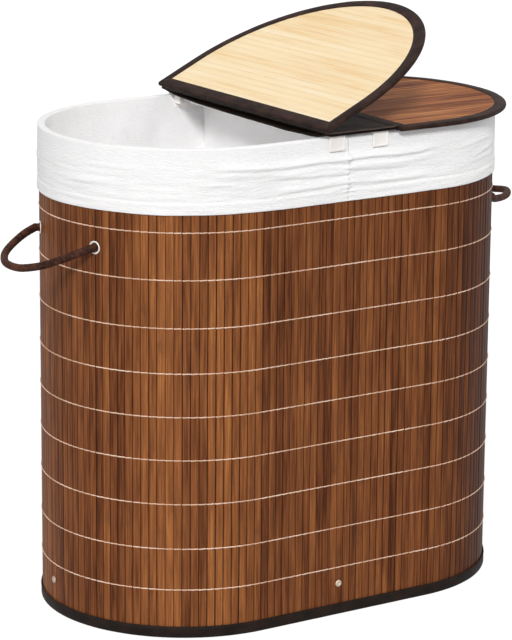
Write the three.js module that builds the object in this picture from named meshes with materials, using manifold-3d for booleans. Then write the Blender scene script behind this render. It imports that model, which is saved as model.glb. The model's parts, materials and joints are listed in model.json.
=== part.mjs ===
// A laundry hamper with two bins. A racetrack wall of bamboo slats carries two hanging cotton
// bags, and two D-shaped lids on a cloth hinge strip close it. The left lid is shown open.
// Millimetres, +Z up, +X to the right seen from the front, origin on the floor in the middle.

import * as THREE from "three";
import { mergeVertices } from "three/addons/utils/BufferGeometryUtils.js";
import Module from "manifold-3d";

const wasm = await Module();
wasm.setup();

// Fits that every piece shares
const clearance = 0.3;
const overrun = 4;
const weldDistance = 0.001;
const arcSteps = 20;
const roundSides = 12;

// Body: straight front and back walls with half-round ends, measured on the slat faces
const overallHeight = 600;
const bodyHalfStraight = 122;
const bodyRadius = 176.6;

// Wall mat
const slatPitch = 9.9;
const slatThickness = 2.6;
const slatGap = 1.5;
const slatGapDepth = 1.5;
const backingThickness = 1;
const seamTapeWidth = 36;
const seamTapeMargin = 18;

// Threads that bind the slats, as shares of the overall height
const threadThickness = 0.6;
const threadWidth = 2.4;
const threadHeightShares = [0.101, 0.186, 0.278, 0.368, 0.456, 0.544, 0.635, 0.731, 0.825, 0.915];

// Bindings, hoop and bag cloth
const bindingThickness = 0.6;
const bottomBindingHeight = 15;
const topBindingHeight = 24;
const hoopThickness = 2;
const hoopHeight = 12;
const clothThickness = 0.6;
const skirtDepth = 78;

// Bags: close to the wall at the top, freer below
const bagStepAboveKnot = 9.5;
const bagStepHeight = 32;
const bagInset = 26;
const bagSplit = 10.5;
const bagSplitGap = 2;
const skirtSeam = -6;
const skirtSeamGap = 0.6;

// Crossbars and the clips that hook them over the rim
const crossbarCentre = 7;
const crossbarSpacing = 62;
const crossbarWidth = 15;
const crossbarThickness = 6;
const crossbarInClip = 9;
const clipWidth = 23;
const clipThickness = 1.6;
const clipDrop = 18;
const clipPadRecess = 0.5;
const clipPadBorder = 2;
const clipSocketDepth = 12;
const clipSocketWall = 1.5;

// Lids and hinge strip, set a little to the right of the body's middle
const lidSetRight = 8;
const stripWidth = 104;
const stripThickness = 2.5;
const stripEndOverhang = 8;
const lidOverhang = 14.8;
const lidEndOverhang = 6.8;
const lidThickness = 6;
const lidTopThickness = 2.2;
const lidBindingWidth = 15;
const hingeRise = 0.8;
const leftLidOpenAngle = 154.4;

// Base
const boardHeight = 24;
const boardThickness = 6;
const bracketWidth = 26;
const bracketReach = 30;
const bracketThickness = 1.5;
const bracketAboveRivet = 12;
const rivetHeight = 40;
const rivetHeadRadius = 4.4;
const rivetHeadHeight = 1.8;
const rivetShankRadius = 2;
const rivetTailRadius = 3.4;
const rivetTailHeight = 1.2;
const frontRivetShift = 11;
const endRivetShift = 17;

// Rope handles
const ropeRadius = 5;
const eyeletSpacing = 130;
const eyeletBelowSkirt = 45.7;
const eyeletWall = 0.8;
const eyeletRimRadius = 8.2;
const eyeletRimThickness = 1;
const washerThickness = 1;
const washerRadius = 9;
const knotRadius = 8.5;
const knotLength = 12;
const handleLoopLength = 90;
const handleDroopDepth = 18;
// Each loop from its front eyelet to its rear one, as shares of its reach out of the wall, of
// half the eyelet spacing and of its droop
const handleRouteShares = {
  left: [
    [0, -1, 0],
    [0.27, -0.9, 0.22],
    [0.51, -0.89, 0.42],
    [0.72, -0.87, 0.56],
    [0.9, -0.66, 0.68],
    [0.93, -0.26, 0.7],
    [0.79, 0.21, 0.67],
    [0.62, 0.53, 0.58],
    [0.42, 0.74, 0.47],
    [0.21, 0.89, 0.28],
    [0, 1, 0],
  ],
  right: [
    [0, -1, 0],
    [0.12, -0.82, 0.4],
    [0.51, -0.5, 0.78],
    [0.8, -0.15, 0.94],
    [0.98, 0.23, 1],
    [0.98, 0.72, 0.98],
    [0.76, 1.02, 0.88],
    [0.38, 1.1, 0.52],
    [0, 1, 0],
  ],
};
const handleSteps = 30;
const handleSides = 10;
const handleCapSteps = 3;

// Heights that follow from the sizes above
const lidTop = overallHeight;
const lidBottom = lidTop - lidThickness;
const hingeHeight = lidTop + hingeRise;
const rimTop = lidBottom - clearance;
const bindingTop = rimTop - clothThickness - clearance;
const matTop = bindingTop - bindingThickness - clearance;
const matBottom = bindingThickness + clearance;
const skirtBottom = rimTop - skirtDepth;
const eyeletHeight = skirtBottom - eyeletBelowSkirt;
const bagStepBottom = eyeletHeight + knotRadius + bagStepAboveKnot;
const bagStepTop = bagStepBottom + bagStepHeight;

// Layers of the wall, as offsets outward from the slat faces. Every layer has the same flats
// round the half-round ends, and a flat's middle lies inside the true circle by the chord dip.
const chordDip = bodyRadius * (1 - Math.cos(Math.PI / arcSteps / 2));
const threadOuter = clearance + threadThickness;
const bindingOuter = clearance + bindingThickness;
const skirtInner = Math.max(threadOuter, bindingOuter) + clearance;
const skirtOuter = skirtInner + clothThickness;
const slatInner = -slatThickness;
const backingOuter = slatInner - clearance;
const backingInner = backingOuter - backingThickness;
const hoopOuter = backingInner - clearance;
const hoopInner = hoopOuter - hoopThickness;
const topBindingInner = hoopInner - clearance - bindingThickness;
const bottomBindingInner = backingInner - clearance - bindingThickness;
const bagOuter = topBindingInner - clearance;
const bagInner = bagOuter - clothThickness;
const clipInnerFace = bagInner - clearance;
const clipOuterFace = skirtOuter + clearance;
const bracketSag = bodyRadius - Math.sqrt(bodyRadius ** 2 - (bracketWidth / 2) ** 2);
const bracketOuter = backingInner - clearance - chordDip - bracketSag;
const bracketInner = bracketOuter - bracketThickness;
const boardEdge = bracketInner - clearance;

// Places across the hamper
const stripLeft = lidSetRight - stripWidth / 2;
const stripRight = lidSetRight + stripWidth / 2;
const lidRadius = bodyRadius + lidOverhang;
const lidLength = bodyHalfStraight + bodyRadius + lidEndOverhang - stripWidth / 2;
const crossbarPlaces = {
  left: crossbarCentre - crossbarSpacing / 2,
  right: crossbarCentre + crossbarSpacing / 2,
};
const crossbarMiddle = rimTop - clothThickness - clearance - clipSocketWall - crossbarThickness / 2 - clearance;
const eyeletAngle = Math.asin(eyeletSpacing / 2 / bodyRadius);
const ropeBallOut = clearance + eyeletRimThickness + clearance + ropeRadius;
const handleAxisX = bodyHalfStraight + (bodyRadius + ropeBallOut) * Math.cos(eyeletAngle);
const handleHalfSpacing = (bodyRadius + ropeBallOut) * Math.sin(eyeletAngle);

// Finishes
const finish = (color, roughness, metalness = 0) =>
  new THREE.MeshStandardMaterial({ color, roughness, metalness });
const darkBamboo = finish(0x6b452c, 0.5);
const lidBamboo = finish(0x9c6a47, 0.45);
const paleBamboo = finish(0xf2dcb0, 0.5);
const darkCloth = finish(0x3a2d26, 0.9);
const paleThread = finish(0xdcb9a4, 0.8);
const cottonCloth = finish(0xeeebe6, 0.95);
const palePlastic = finish(0xf0ebe4, 0.4);
const galvanisedSteel = finish(0xb5b8ba, 0.4, 0.9);
const whiteMetal = finish(0xe6e4e0, 0.35, 0.6);
const brownRope = finish(0x3d2a20, 0.85);
const fibreboard = finish(0x7a5c40, 0.8);

// Solids

function solidOf(geometry) {
  const bare = geometry.clone();
  bare.deleteAttribute("normal");
  bare.deleteAttribute("uv");
  const merged = mergeVertices(bare, weldDistance);
  const vertProperties = merged.attributes.position.array;
  const triVerts = new Uint32Array(merged.index.array);
  return new wasm.Manifold(new wasm.Mesh({ numProp: 3, vertProperties, triVerts }));
}

function geometryOf(solid) {
  const { vertProperties, triVerts } = solid.getMesh();
  const geometry = new THREE.BufferGeometry();
  geometry.setAttribute("position", new THREE.BufferAttribute(vertProperties, 3));
  geometry.setIndex(new THREE.BufferAttribute(triVerts, 1));
  geometry.computeVertexNormals();
  return geometry;
}

function join(...geometries) {
  return geometryOf(geometries.map(solidOf).reduce((all, next) => all.add(next)));
}

function cut(geometry, ...tools) {
  return geometryOf(tools.map(solidOf).reduce((rest, tool) => rest.subtract(tool), solidOf(geometry)));
}

function indexed(points, faces) {
  const geometry = new THREE.BufferGeometry();
  geometry.setAttribute("position", new THREE.Float32BufferAttribute(points.flat(), 3));
  geometry.setIndex(faces.flat());
  geometry.computeVertexNormals();
  return geometry;
}

// A box between two corners.
function block([x0, y0, z0], [x1, y1, z1]) {
  const box = new THREE.BoxGeometry(x1 - x0, y1 - y0, z1 - z0);
  return box.translate((x0 + x1) / 2, (y0 + y1) / 2, (z0 + z1) / 2);
}

// Outlines seen from above, as anticlockwise lists of [x, y], moved outward by an offset

function halfRound(centreX, radius, fromAngle) {
  return Array.from({ length: arcSteps + 1 }, (_, i) => {
    const angle = fromAngle + (Math.PI * i) / arcSteps;
    return [centreX + radius * Math.cos(angle), radius * Math.sin(angle)];
  });
}

function bodyOutline(offset) {
  const radius = bodyRadius + offset;
  return [
    ...halfRound(bodyHalfStraight, radius, -Math.PI / 2),
    ...halfRound(-bodyHalfStraight, radius, Math.PI / 2),
  ];
}

// The left lid's outline, with its hinge edge at x = 0.
function lidOutline(offset) {
  return [
    [offset, -lidRadius - offset],
    [offset, lidRadius + offset],
    ...halfRound(lidRadius - lidLength, lidRadius + offset, Math.PI / 2),
  ];
}

// Half of the body's outline, on the left of a split line.
function bagOutline(offset, splitX) {
  const radius = bodyRadius + offset;
  return [[splitX, -radius], [splitX, radius], ...halfRound(-bodyHalfStraight, radius, Math.PI / 2)];
}

// A closed solid through outlines of equal length that rise in height.
function loft(levels) {
  const count = levels[0].outline.length;
  const points = levels.flatMap(({ outline, z }) => outline.map(([x, y]) => [x, y, z]));
  const faces = [];
  for (let level = 0; level < levels.length - 1; level++) {
    for (let i = 0; i < count; i++) {
      const a = level * count + i;
      const b = level * count + ((i + 1) % count);
      faces.push([a, b, b + count], [a, b + count, a + count]);
    }
  }
  const capOf = ({ outline }) =>
    THREE.ShapeUtils.triangulateShape(
      outline.map(([x, y]) => new THREE.Vector2(x, y)),
      [],
    );
  const lastStart = (levels.length - 1) * count;
  capOf(levels[0]).forEach(([a, b, c]) => faces.push([a, c, b]));
  capOf(levels.at(-1)).forEach((face) => faces.push(face.map((i) => i + lastStart)));
  return indexed(points, faces);
}

function prism(outline, z0, z1) {
  return loft([
    { outline, z: z0 },
    { outline, z: z1 },
  ]);
}

// A closed band round an outline: its section is an anticlockwise list of [offset, z].
function band(outlineAt, section) {
  const rings = section.map(([offset, z]) => outlineAt(offset).map(([x, y]) => [x, y, z]));
  const count = rings[0].length;
  const faces = [];
  for (let ring = 0; ring < rings.length; ring++) {
    for (let i = 0; i < count; i++) {
      const next = ((ring + 1) % rings.length) * count;
      const here = ring * count;
      const ahead = (i + 1) % count;
      faces.push([here + i, here + ahead, next + ahead], [here + i, next + ahead, next + i]);
    }
  }
  return indexed(rings.flat(), faces);
}

function flatBand(outlineAt, inner, outer, z0, z1) {
  return band(outlineAt, [
    [inner, z0],
    [outer, z0],
    [outer, z1],
    [inner, z1],
  ]);
}

// Scene graph

const hamper = new THREE.Group();

function piece(name, geometry, material, parent = hamper) {
  const mesh = new THREE.Mesh(geometry, material);
  mesh.name = name;
  parent.add(mesh);
  return mesh;
}

// Places on the slat faces: a point and the way out of the wall. A turned piece there has its
// own +Y outward.

function onStraight(side, x, z) {
  return { point: new THREE.Vector3(x, side * bodyRadius, z), out: new THREE.Vector3(0, side, 0) };
}

function onEnd(side, y, z) {
  const angle = Math.asin(y / bodyRadius);
  const out = new THREE.Vector3(side * Math.cos(angle), Math.sin(angle), 0);
  const centre = new THREE.Vector3(side * bodyHalfStraight, 0, z);
  return { point: centre.addScaledVector(out, bodyRadius), out };
}

// A turn that stands a piece upright on the wall: +Y outward and +Z still up.
function turnTo(out) {
  const right = new THREE.Vector3().crossVectors(out, new THREE.Vector3(0, 0, 1));
  return new THREE.Matrix4().makeBasis(right, out, new THREE.Vector3(0, 0, 1));
}

function placed(geometry, { point, out }) {
  return geometry.clone().applyMatrix4(turnTo(out).setPosition(point));
}

function pieceOnWall(name, geometry, material, { point, out }) {
  const mesh = piece(name, geometry, material);
  mesh.position.copy(point);
  mesh.quaternion.setFromRotationMatrix(turnTo(out));
  return mesh;
}

// A turned piece whose profile is a list of [radius, offset outward].
function turned(profile) {
  return new THREE.LatheGeometry(
    profile.map(([radius, offset]) => new THREE.Vector2(radius, offset)),
    roundSides,
  );
}

function wallDrill(radius, place) {
  const length = slatThickness + backingThickness + 2 * overrun;
  const drill = new THREE.CylinderGeometry(radius, radius, length, roundSides);
  return placed(drill.translate(0, -length / 2 + overrun, 0), place);
}

const rivetPlaces = {
  front: onStraight(-1, -frontRivetShift, rivetHeight),
  back: onStraight(1, frontRivetShift, rivetHeight),
  left: onEnd(-1, endRivetShift, rivetHeight),
  right: onEnd(1, -endRivetShift, rivetHeight),
};

const eyeletPlaces = {
  left_front: onEnd(-1, -eyeletSpacing / 2, eyeletHeight),
  left_rear: onEnd(-1, eyeletSpacing / 2, eyeletHeight),
  right_front: onEnd(1, -eyeletSpacing / 2, eyeletHeight),
  right_rear: onEnd(1, eyeletSpacing / 2, eyeletHeight),
};

// Wall

// The slats' outline: each slat is a flat between two narrow grooves.
function slatOutline() {
  const faces = bodyOutline(0);
  const floors = bodyOutline(-slatGapDepth);
  const lengths = faces.map(([x, y], i) => {
    const [nextX, nextY] = faces[(i + 1) % faces.length];
    return Math.hypot(nextX - x, nextY - y);
  });
  const perimeter = lengths.reduce((sum, length) => sum + length);
  const pointOn = (outline, distance) => {
    let rest = distance % perimeter;
    const side = lengths.findIndex((length) => (rest -= length) < 0);
    const share = 1 + rest / lengths[side];
    const [x0, y0] = outline[side];
    const [x1, y1] = outline[(side + 1) % outline.length];
    return [x0 + share * (x1 - x0), y0 + share * (y1 - y0)];
  };
  const count = Math.round(perimeter / slatPitch);
  const pitch = perimeter / count;
  return Array.from({ length: count }, (_, i) => (i + 0.5) * pitch).flatMap((start) => [
    pointOn(faces, start),
    pointOn(faces, start + pitch - slatGap),
    pointOn(floors, start + pitch - slatGap),
    pointOn(floors, start + pitch),
  ]);
}

function wallHoles() {
  const eyeletHole = ropeRadius + clearance + eyeletWall + clearance;
  return [
    ...Object.values(rivetPlaces).map((place) => wallDrill(rivetShankRadius + clearance, place)),
    ...Object.values(eyeletPlaces).map((place) => wallDrill(eyeletHole, place)),
  ];
}

function addWall() {
  const slats = prism(slatOutline(), matBottom, matTop);
  const hollow = prism(bodyOutline(slatInner), matBottom - overrun, matTop + overrun);
  piece("wall_slat_mat", cut(slats, hollow, ...wallHoles()), darkBamboo);

  const backing = flatBand(bodyOutline, backingInner, backingOuter, matBottom, matTop);
  piece("wall_backing", cut(backing, ...wallHoles()), darkCloth);

  const tapeOuter = bodyRadius + backingInner - clearance;
  const tapeBottom = rivetHeight + bracketAboveRivet + seamTapeMargin;
  const tapeTop = matTop - topBindingHeight - seamTapeMargin;
  const seamTape = block(
    [-seamTapeWidth / 2, tapeOuter - clothThickness, tapeBottom],
    [seamTapeWidth / 2, tapeOuter, tapeTop],
  );
  piece("wall_seam_tape", seamTape, darkCloth);

  threadHeightShares.forEach((share, i) => {
    const middle = share * overallHeight;
    const row = flatBand(bodyOutline, clearance, threadOuter, middle - threadWidth / 2, middle + threadWidth / 2);
    piece("thread_row_" + (i + 1), row, paleThread);
  });
}

function addBindings() {
  const bottomInnerFace = bottomBindingInner + bindingThickness;
  const bottom = band(bodyOutline, [
    [bottomBindingInner, 0],
    [bindingOuter, 0],
    [bindingOuter, bottomBindingHeight],
    [clearance, bottomBindingHeight],
    [clearance, bindingThickness],
    [bottomInnerFace, bindingThickness],
    [bottomInnerFace, bottomBindingHeight],
    [bottomBindingInner, bottomBindingHeight],
  ]);
  piece("bottom_binding", bottom, darkCloth);

  const topInnerFace = topBindingInner + bindingThickness;
  const top = band(bodyOutline, [
    [topBindingInner, bindingTop - topBindingHeight],
    [topInnerFace, bindingTop - topBindingHeight],
    [topInnerFace, bindingTop - bindingThickness],
    [clearance, bindingTop - bindingThickness],
    [clearance, bindingTop - topBindingHeight],
    [bindingOuter, bindingTop - topBindingHeight],
    [bindingOuter, bindingTop],
    [topBindingInner, bindingTop],
  ]);
  piece("top_binding", top, darkCloth);

  const hoop = flatBand(bodyOutline, hoopInner, hoopOuter, matTop - hoopHeight, matTop);
  piece("top_hoop", hoop, galvanisedSteel);
}

// Base

function addBase() {
  piece("base_board", prism(bodyOutline(boardEdge), boardHeight, boardHeight + boardThickness), fibreboard);

  // In a bracket's own frame y = 0 is the slat face and z = 0 the rivet's height.
  const legTop = bracketAboveRivet;
  const footTop = boardHeight - clearance - rivetHeight;
  const footBottom = footTop - bracketThickness;
  const leg = block([-bracketWidth / 2, bracketInner, footBottom], [bracketWidth / 2, bracketOuter, legTop]);
  const foot = block(
    [-bracketWidth / 2, bracketOuter - bracketReach, footBottom],
    [bracketWidth / 2, bracketOuter, footTop],
  );
  const holeRadius = rivetShankRadius + clearance;
  const hole = new THREE.CylinderGeometry(holeRadius, holeRadius, bracketThickness + 2 * overrun, roundSides);
  const bracket = cut(join(leg, foot), hole.translate(0, bracketInner, 0));

  const tailTop = bracketInner - clearance;
  const rivet = turned([
    [0, tailTop - rivetTailHeight],
    [rivetTailRadius, tailTop - rivetTailHeight],
    [rivetTailRadius, tailTop],
    [rivetShankRadius, tailTop],
    [rivetShankRadius, clearance],
    [rivetHeadRadius, clearance],
    [rivetHeadRadius, clearance + rivetHeadHeight / 3],
    [rivetHeadRadius * 0.8, clearance + (rivetHeadHeight * 3) / 4],
    [rivetHeadRadius * 0.4, clearance + rivetHeadHeight],
    [0, clearance + rivetHeadHeight],
  ]);

  for (const [side, place] of Object.entries(rivetPlaces)) {
    pieceOnWall("base_bracket_" + side, bracket, galvanisedSteel, place);
    pieceOnWall("base_rivet_" + side, rivet, whiteMetal, place);
  }
}

// Bags. Each is drawn as a left one, and the right one is drawn with its own distances to the
// left of the middle and then mirrored.

const clipTop = rimTop + clearance + clipThickness;
const clipSocketEnd = clipInnerFace - clipThickness - clipSocketDepth;
const crossbarEnd = clipSocketEnd + crossbarInClip;

function bagGeometry(barX, splitX, seamX) {
  const floor = boardHeight + boardThickness + clearance;
  const tubTop = rimTop - clothThickness / 2;
  const levelsAt = (wall, bottom, top) => [
    { outline: bagOutline(-bagInset - wall, splitX - wall), z: bottom },
    { outline: bagOutline(-bagInset - wall, splitX - wall), z: bagStepBottom },
    { outline: bagOutline(bagOuter - wall, splitX - wall), z: bagStepTop },
    { outline: bagOutline(bagOuter - wall, splitX - wall), z: top },
  ];
  const tub = cut(
    loft(levelsAt(0, floor, tubTop)),
    loft(levelsAt(clothThickness, floor + clothThickness, tubTop + overrun)),
  );

  const collar = band(bodyOutline, [
    [bagInner, rimTop - clothThickness],
    [skirtInner, rimTop - clothThickness],
    [skirtInner, skirtBottom],
    [skirtOuter, skirtBottom],
    [skirtOuter, rimTop],
    [bagInner, rimTop],
  ]);
  const farSide = bodyHalfStraight + bodyRadius + overrun + skirtOuter;
  const otherHalf = block(
    [seamX, -bodyRadius - skirtOuter - overrun, skirtBottom - overrun],
    [farSide, bodyRadius + skirtOuter + overrun, rimTop + overrun],
  );

  const sleeveHalf = bodyRadius + clipSocketEnd - clearance;
  const barHalfWidth = crossbarWidth / 2 + clearance;
  const barHalfHeight = crossbarThickness / 2 + clearance;
  const sleeveTop = crossbarMiddle + barHalfHeight + clothThickness;
  const sleeve = block(
    [barX - barHalfWidth - clothThickness, -sleeveHalf, crossbarMiddle - barHalfHeight - clothThickness],
    [barX + barHalfWidth + clothThickness, sleeveHalf, sleeveTop],
  );
  const barSpace = block(
    [barX - barHalfWidth, -sleeveHalf - overrun, crossbarMiddle - barHalfHeight],
    [barX + barHalfWidth, sleeveHalf + overrun, crossbarMiddle + barHalfHeight],
  );
  const web = block([barX + barHalfWidth, -sleeveHalf, sleeveTop - clothThickness], [splitX, sleeveHalf, sleeveTop]);
  const aboveSleeve = block(
    [splitX - clothThickness - overrun, -bodyRadius - bagInner, sleeveTop],
    [splitX + overrun, bodyRadius + bagInner, rimTop + overrun],
  );
  // The other bag's collar reaches past this bag's split line, so the wall stays lower there.
  const underOtherCollar = block(
    [seamX, -farSide, rimTop - clothThickness - clearance],
    [Math.max(seamX, splitX) + overrun, farSide, rimTop + overrun],
  );
  return join(
    cut(tub, aboveSleeve, underOtherCollar),
    cut(collar, otherHalf),
    cut(join(sleeve, web), barSpace),
  );
}

function mirrorAcross(geometry) {
  const flipped = geometry.clone().scale(-1, 1, 1);
  const corners = flipped.index.array;
  for (let i = 0; i < corners.length; i += 3) {
    [corners[i + 1], corners[i + 2]] = [corners[i + 2], corners[i + 1]];
  }
  flipped.computeVertexNormals();
  return flipped;
}

function addBags() {
  const left = bagGeometry(crossbarPlaces.left, bagSplit - bagSplitGap / 2, skirtSeam - skirtSeamGap / 2);
  const right = bagGeometry(-crossbarPlaces.right, -bagSplit - bagSplitGap / 2, -skirtSeam - skirtSeamGap / 2);
  piece("left_bag", left, cottonCloth);
  piece("right_bag", mirrorAcross(right), cottonCloth);
}

// Crossbars and clips. A clip hooks over the rim, and its socket holds the end of a bar.

function clipGeometry() {
  const half = clipWidth / 2;
  const face = clipOuterFace + clipThickness;
  const back = clipInnerFace - clipThickness;
  const bottom = clipTop - clipDrop;
  const barHalfHeight = crossbarThickness / 2 + clearance;
  const outerLeg = block([-half, clipOuterFace, bottom], [half, face, clipTop]);
  const bridge = block([-half, back, clipTop - clipThickness], [half, face, clipTop]);
  const innerLeg = block([-half, back, bottom], [half, clipInnerFace, clipTop]);
  const socket = block(
    [-half, clipSocketEnd, crossbarMiddle - barHalfHeight - clipSocketWall],
    [half, back + clipThickness / 2, crossbarMiddle + barHalfHeight + clipSocketWall],
  );
  const pocket = block(
    [-crossbarWidth / 2 - clearance, clipSocketEnd - overrun, crossbarMiddle - barHalfHeight],
    [crossbarWidth / 2 + clearance, crossbarEnd + clearance, crossbarMiddle + barHalfHeight],
  );
  const pad = block(
    [-half + clipPadBorder, face - clipPadRecess, bottom + clipPadBorder],
    [half - clipPadBorder, face + overrun, clipTop - clipPadBorder],
  );
  return cut(join(outerLeg, bridge, innerLeg, socket), pocket, pad);
}

function addCrossbars() {
  const clip = clipGeometry();
  const barHalf = bodyRadius + crossbarEnd;
  for (const [side, x] of Object.entries(crossbarPlaces)) {
    const bar = block(
      [x - crossbarWidth / 2, -barHalf, crossbarMiddle - crossbarThickness / 2],
      [x + crossbarWidth / 2, barHalf, crossbarMiddle + crossbarThickness / 2],
    );
    piece(side + "_crossbar", bar, galvanisedSteel);
    pieceOnWall(side + "_clip_front", clip, palePlastic, onStraight(-1, x, 0));
    pieceOnWall(side + "_clip_rear", clip, palePlastic, onStraight(1, x, 0));
  }
}

// Hinge strip: two layers of cloth that lie on the clips and join the lids

function addHingeStrip() {
  const halfLength = bodyRadius + stripEndOverhang;
  const layer = (bottom) =>
    block([stripLeft + clearance, -halfLength, bottom], [stripRight - clearance, halfLength, bottom + stripThickness]);
  const lowerBottom = clipTop + clearance;
  piece("hinge_strip_lower", layer(lowerBottom), darkCloth);
  piece("hinge_strip_upper", layer(lowerBottom + stripThickness + clearance), darkCloth);
}

// Lids, drawn as the left one, closed, about its hinge line

function lidGeometries() {
  const top = lidTop - hingeHeight;
  const bottom = lidBottom - hingeHeight;
  const inside = -bindingThickness;
  const binding = band(lidOutline, [
    [-lidBindingWidth, bottom],
    [0, bottom],
    [0, top],
    [-lidBindingWidth, top],
    [-lidBindingWidth, top - bindingThickness],
    [inside, top - bindingThickness],
    [inside, bottom + bindingThickness],
    [-lidBindingWidth, bottom + bindingThickness],
  ]);
  const panelTop = top - bindingThickness - clearance;
  const panelBottom = panelTop - lidTopThickness;
  const sheetOutline = lidOutline(inside - clearance);
  return {
    panel: prism(sheetOutline, panelBottom, panelTop),
    lining: prism(sheetOutline, bottom + bindingThickness + clearance, panelBottom - clearance),
    binding,
  };
}

function addLid(side, hingeX, openAngle, shape) {
  const lid = new THREE.Group();
  lid.position.set(hingeX, 0, hingeHeight);
  lid.rotation.y = THREE.MathUtils.degToRad(openAngle);
  hamper.add(lid);
  piece(side + "_lid_panel", shape.panel, lidBamboo, lid);
  piece(side + "_lid_lining", shape.lining, paleBamboo, lid);
  piece(side + "_lid_binding", shape.binding, darkCloth, lid);
}

function addLids() {
  const left = lidGeometries();
  const right = Object.fromEntries(Object.entries(left).map(([name, shape]) => [name, mirrorAcross(shape)]));
  addLid("left", stripLeft, leftLidOpenAngle, left);
  addLid("right", stripRight, 0, right);
}

// Rope handles

// A tube along a curve with a half ball on each end.
function roundEndedRope(curve) {
  const { tangents, normals, binormals } = curve.computeFrenetFrames(handleSteps);
  const pointAt = (step, along) =>
    curve.getPointAt(step / handleSteps).addScaledVector(tangents[step], along);
  const ringAt = (step, along, radius) =>
    Array.from({ length: handleSides }, (_, k) => {
      const angle = (2 * Math.PI * k) / handleSides;
      return pointAt(step, along)
        .addScaledVector(normals[step], radius * Math.cos(angle))
        .addScaledVector(binormals[step], radius * Math.sin(angle))
        .toArray();
    });
  const capAngles = Array.from(
    { length: handleCapSteps - 1 },
    (_, k) => (Math.PI / 2) * ((k + 1) / handleCapSteps),
  );
  const startCap = capAngles.map((a) => ringAt(0, -ropeRadius * Math.cos(a), ropeRadius * Math.sin(a)));
  const endCap = capAngles.map((a) => ringAt(handleSteps, ropeRadius * Math.sin(a), ropeRadius * Math.cos(a)));
  const body = Array.from({ length: handleSteps + 1 }, (_, step) => ringAt(step, 0, ropeRadius));
  const rings = [...startCap, ...body, ...endCap];

  const points = rings.flat();
  const faces = [];
  for (let ring = 0; ring < rings.length - 1; ring++) {
    for (let k = 0; k < handleSides; k++) {
      const a = ring * handleSides + k;
      const b = ring * handleSides + ((k + 1) % handleSides);
      faces.push([a, b, b + handleSides], [a, b + handleSides, a + handleSides]);
    }
  }
  const lastRing = (rings.length - 1) * handleSides;
  const startPole = points.push(pointAt(0, -ropeRadius).toArray()) - 1;
  const endPole = points.push(pointAt(handleSteps, ropeRadius).toArray()) - 1;
  for (let k = 0; k < handleSides; k++) {
    const next = (k + 1) % handleSides;
    faces.push([startPole, next, k], [endPole, lastRing + k, lastRing + next]);
  }
  return indexed(points, faces);
}

function addHandle(side, direction) {
  const route = handleRouteShares[side].map(
    ([out, along, droop]) =>
      new THREE.Vector3(direction * out * handleLoopLength, along * handleHalfSpacing, -droop * handleDroopDepth),
  );
  const pivot = new THREE.Group();
  pivot.position.set(direction * handleAxisX, 0, eyeletHeight);
  hamper.add(pivot);
  piece(side + "_rope_handle", roundEndedRope(new THREE.CatmullRomCurve3(route)), brownRope, pivot);
}

function addEyelets() {
  const washerSag = bodyRadius - Math.sqrt(bodyRadius ** 2 - washerRadius ** 2);
  const washerOuter = backingInner - clearance - chordDip - washerSag;
  const washerInner = washerOuter - washerThickness;
  const bore = ropeRadius + clearance;
  const barrel = bore + eyeletWall;
  const rimTopFace = clearance + eyeletRimThickness;
  const eyelet = turned([
    [bore, washerInner],
    [barrel, washerInner],
    [barrel, clearance],
    [eyeletRimRadius, clearance],
    [eyeletRimRadius, clearance + eyeletRimThickness / 2],
    [eyeletRimRadius - eyeletRimThickness / 2, rimTopFace],
    [bore, rimTopFace],
    [bore, washerInner],
  ]);
  const washer = turned([
    [barrel + clearance, washerInner],
    [washerRadius, washerInner],
    [washerRadius, washerOuter],
    [barrel + clearance, washerOuter],
    [barrel + clearance, washerInner],
  ]);
  const knotTop = washerInner - clearance;
  const knotBottom = knotTop - knotLength;
  const ropeEnd = turned([
    [0, knotBottom],
    [knotRadius * 0.6, knotBottom],
    [knotRadius, knotBottom + knotLength * 0.3],
    [knotRadius, knotBottom + knotLength * 0.7],
    [knotRadius * 0.75, knotTop],
    [ropeRadius, knotTop],
    [ropeRadius, rimTopFace],
    [0, rimTopFace],
  ]);
  for (const [corner, place] of Object.entries(eyeletPlaces)) {
    pieceOnWall("eyelet_" + corner, eyelet, whiteMetal, place);
    pieceOnWall("eyelet_washer_" + corner, washer, whiteMetal, place);
    pieceOnWall("rope_knot_" + corner, ropeEnd, brownRope, place);
  }
}

addWall();
addBindings();
addBase();
addBags();
addCrossbars();
addHingeStrip();
addLids();
addEyelets();
addHandle("left", -1);
addHandle("right", 1);

export default hamper;
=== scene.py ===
import json
import math
from contextlib import contextmanager

import bmesh
import bpy
import numpy as np
from mathutils import Matrix, Vector, noise

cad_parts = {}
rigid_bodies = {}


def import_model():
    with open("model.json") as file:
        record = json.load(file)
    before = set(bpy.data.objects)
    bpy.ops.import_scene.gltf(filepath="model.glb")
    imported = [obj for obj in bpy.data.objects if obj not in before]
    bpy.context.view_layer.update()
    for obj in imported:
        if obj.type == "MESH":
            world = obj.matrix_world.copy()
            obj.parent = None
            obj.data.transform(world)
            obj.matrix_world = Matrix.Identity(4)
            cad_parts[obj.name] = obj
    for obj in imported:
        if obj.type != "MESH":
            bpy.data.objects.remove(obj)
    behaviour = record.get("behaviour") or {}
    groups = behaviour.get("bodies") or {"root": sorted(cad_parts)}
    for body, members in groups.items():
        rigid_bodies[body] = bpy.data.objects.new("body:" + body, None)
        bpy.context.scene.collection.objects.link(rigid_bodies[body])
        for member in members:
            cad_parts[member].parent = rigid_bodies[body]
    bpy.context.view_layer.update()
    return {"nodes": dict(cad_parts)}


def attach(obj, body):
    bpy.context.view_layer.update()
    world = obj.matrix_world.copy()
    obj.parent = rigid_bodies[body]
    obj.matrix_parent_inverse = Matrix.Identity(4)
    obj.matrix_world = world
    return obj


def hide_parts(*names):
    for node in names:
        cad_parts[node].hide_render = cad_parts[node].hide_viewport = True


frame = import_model()

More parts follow.
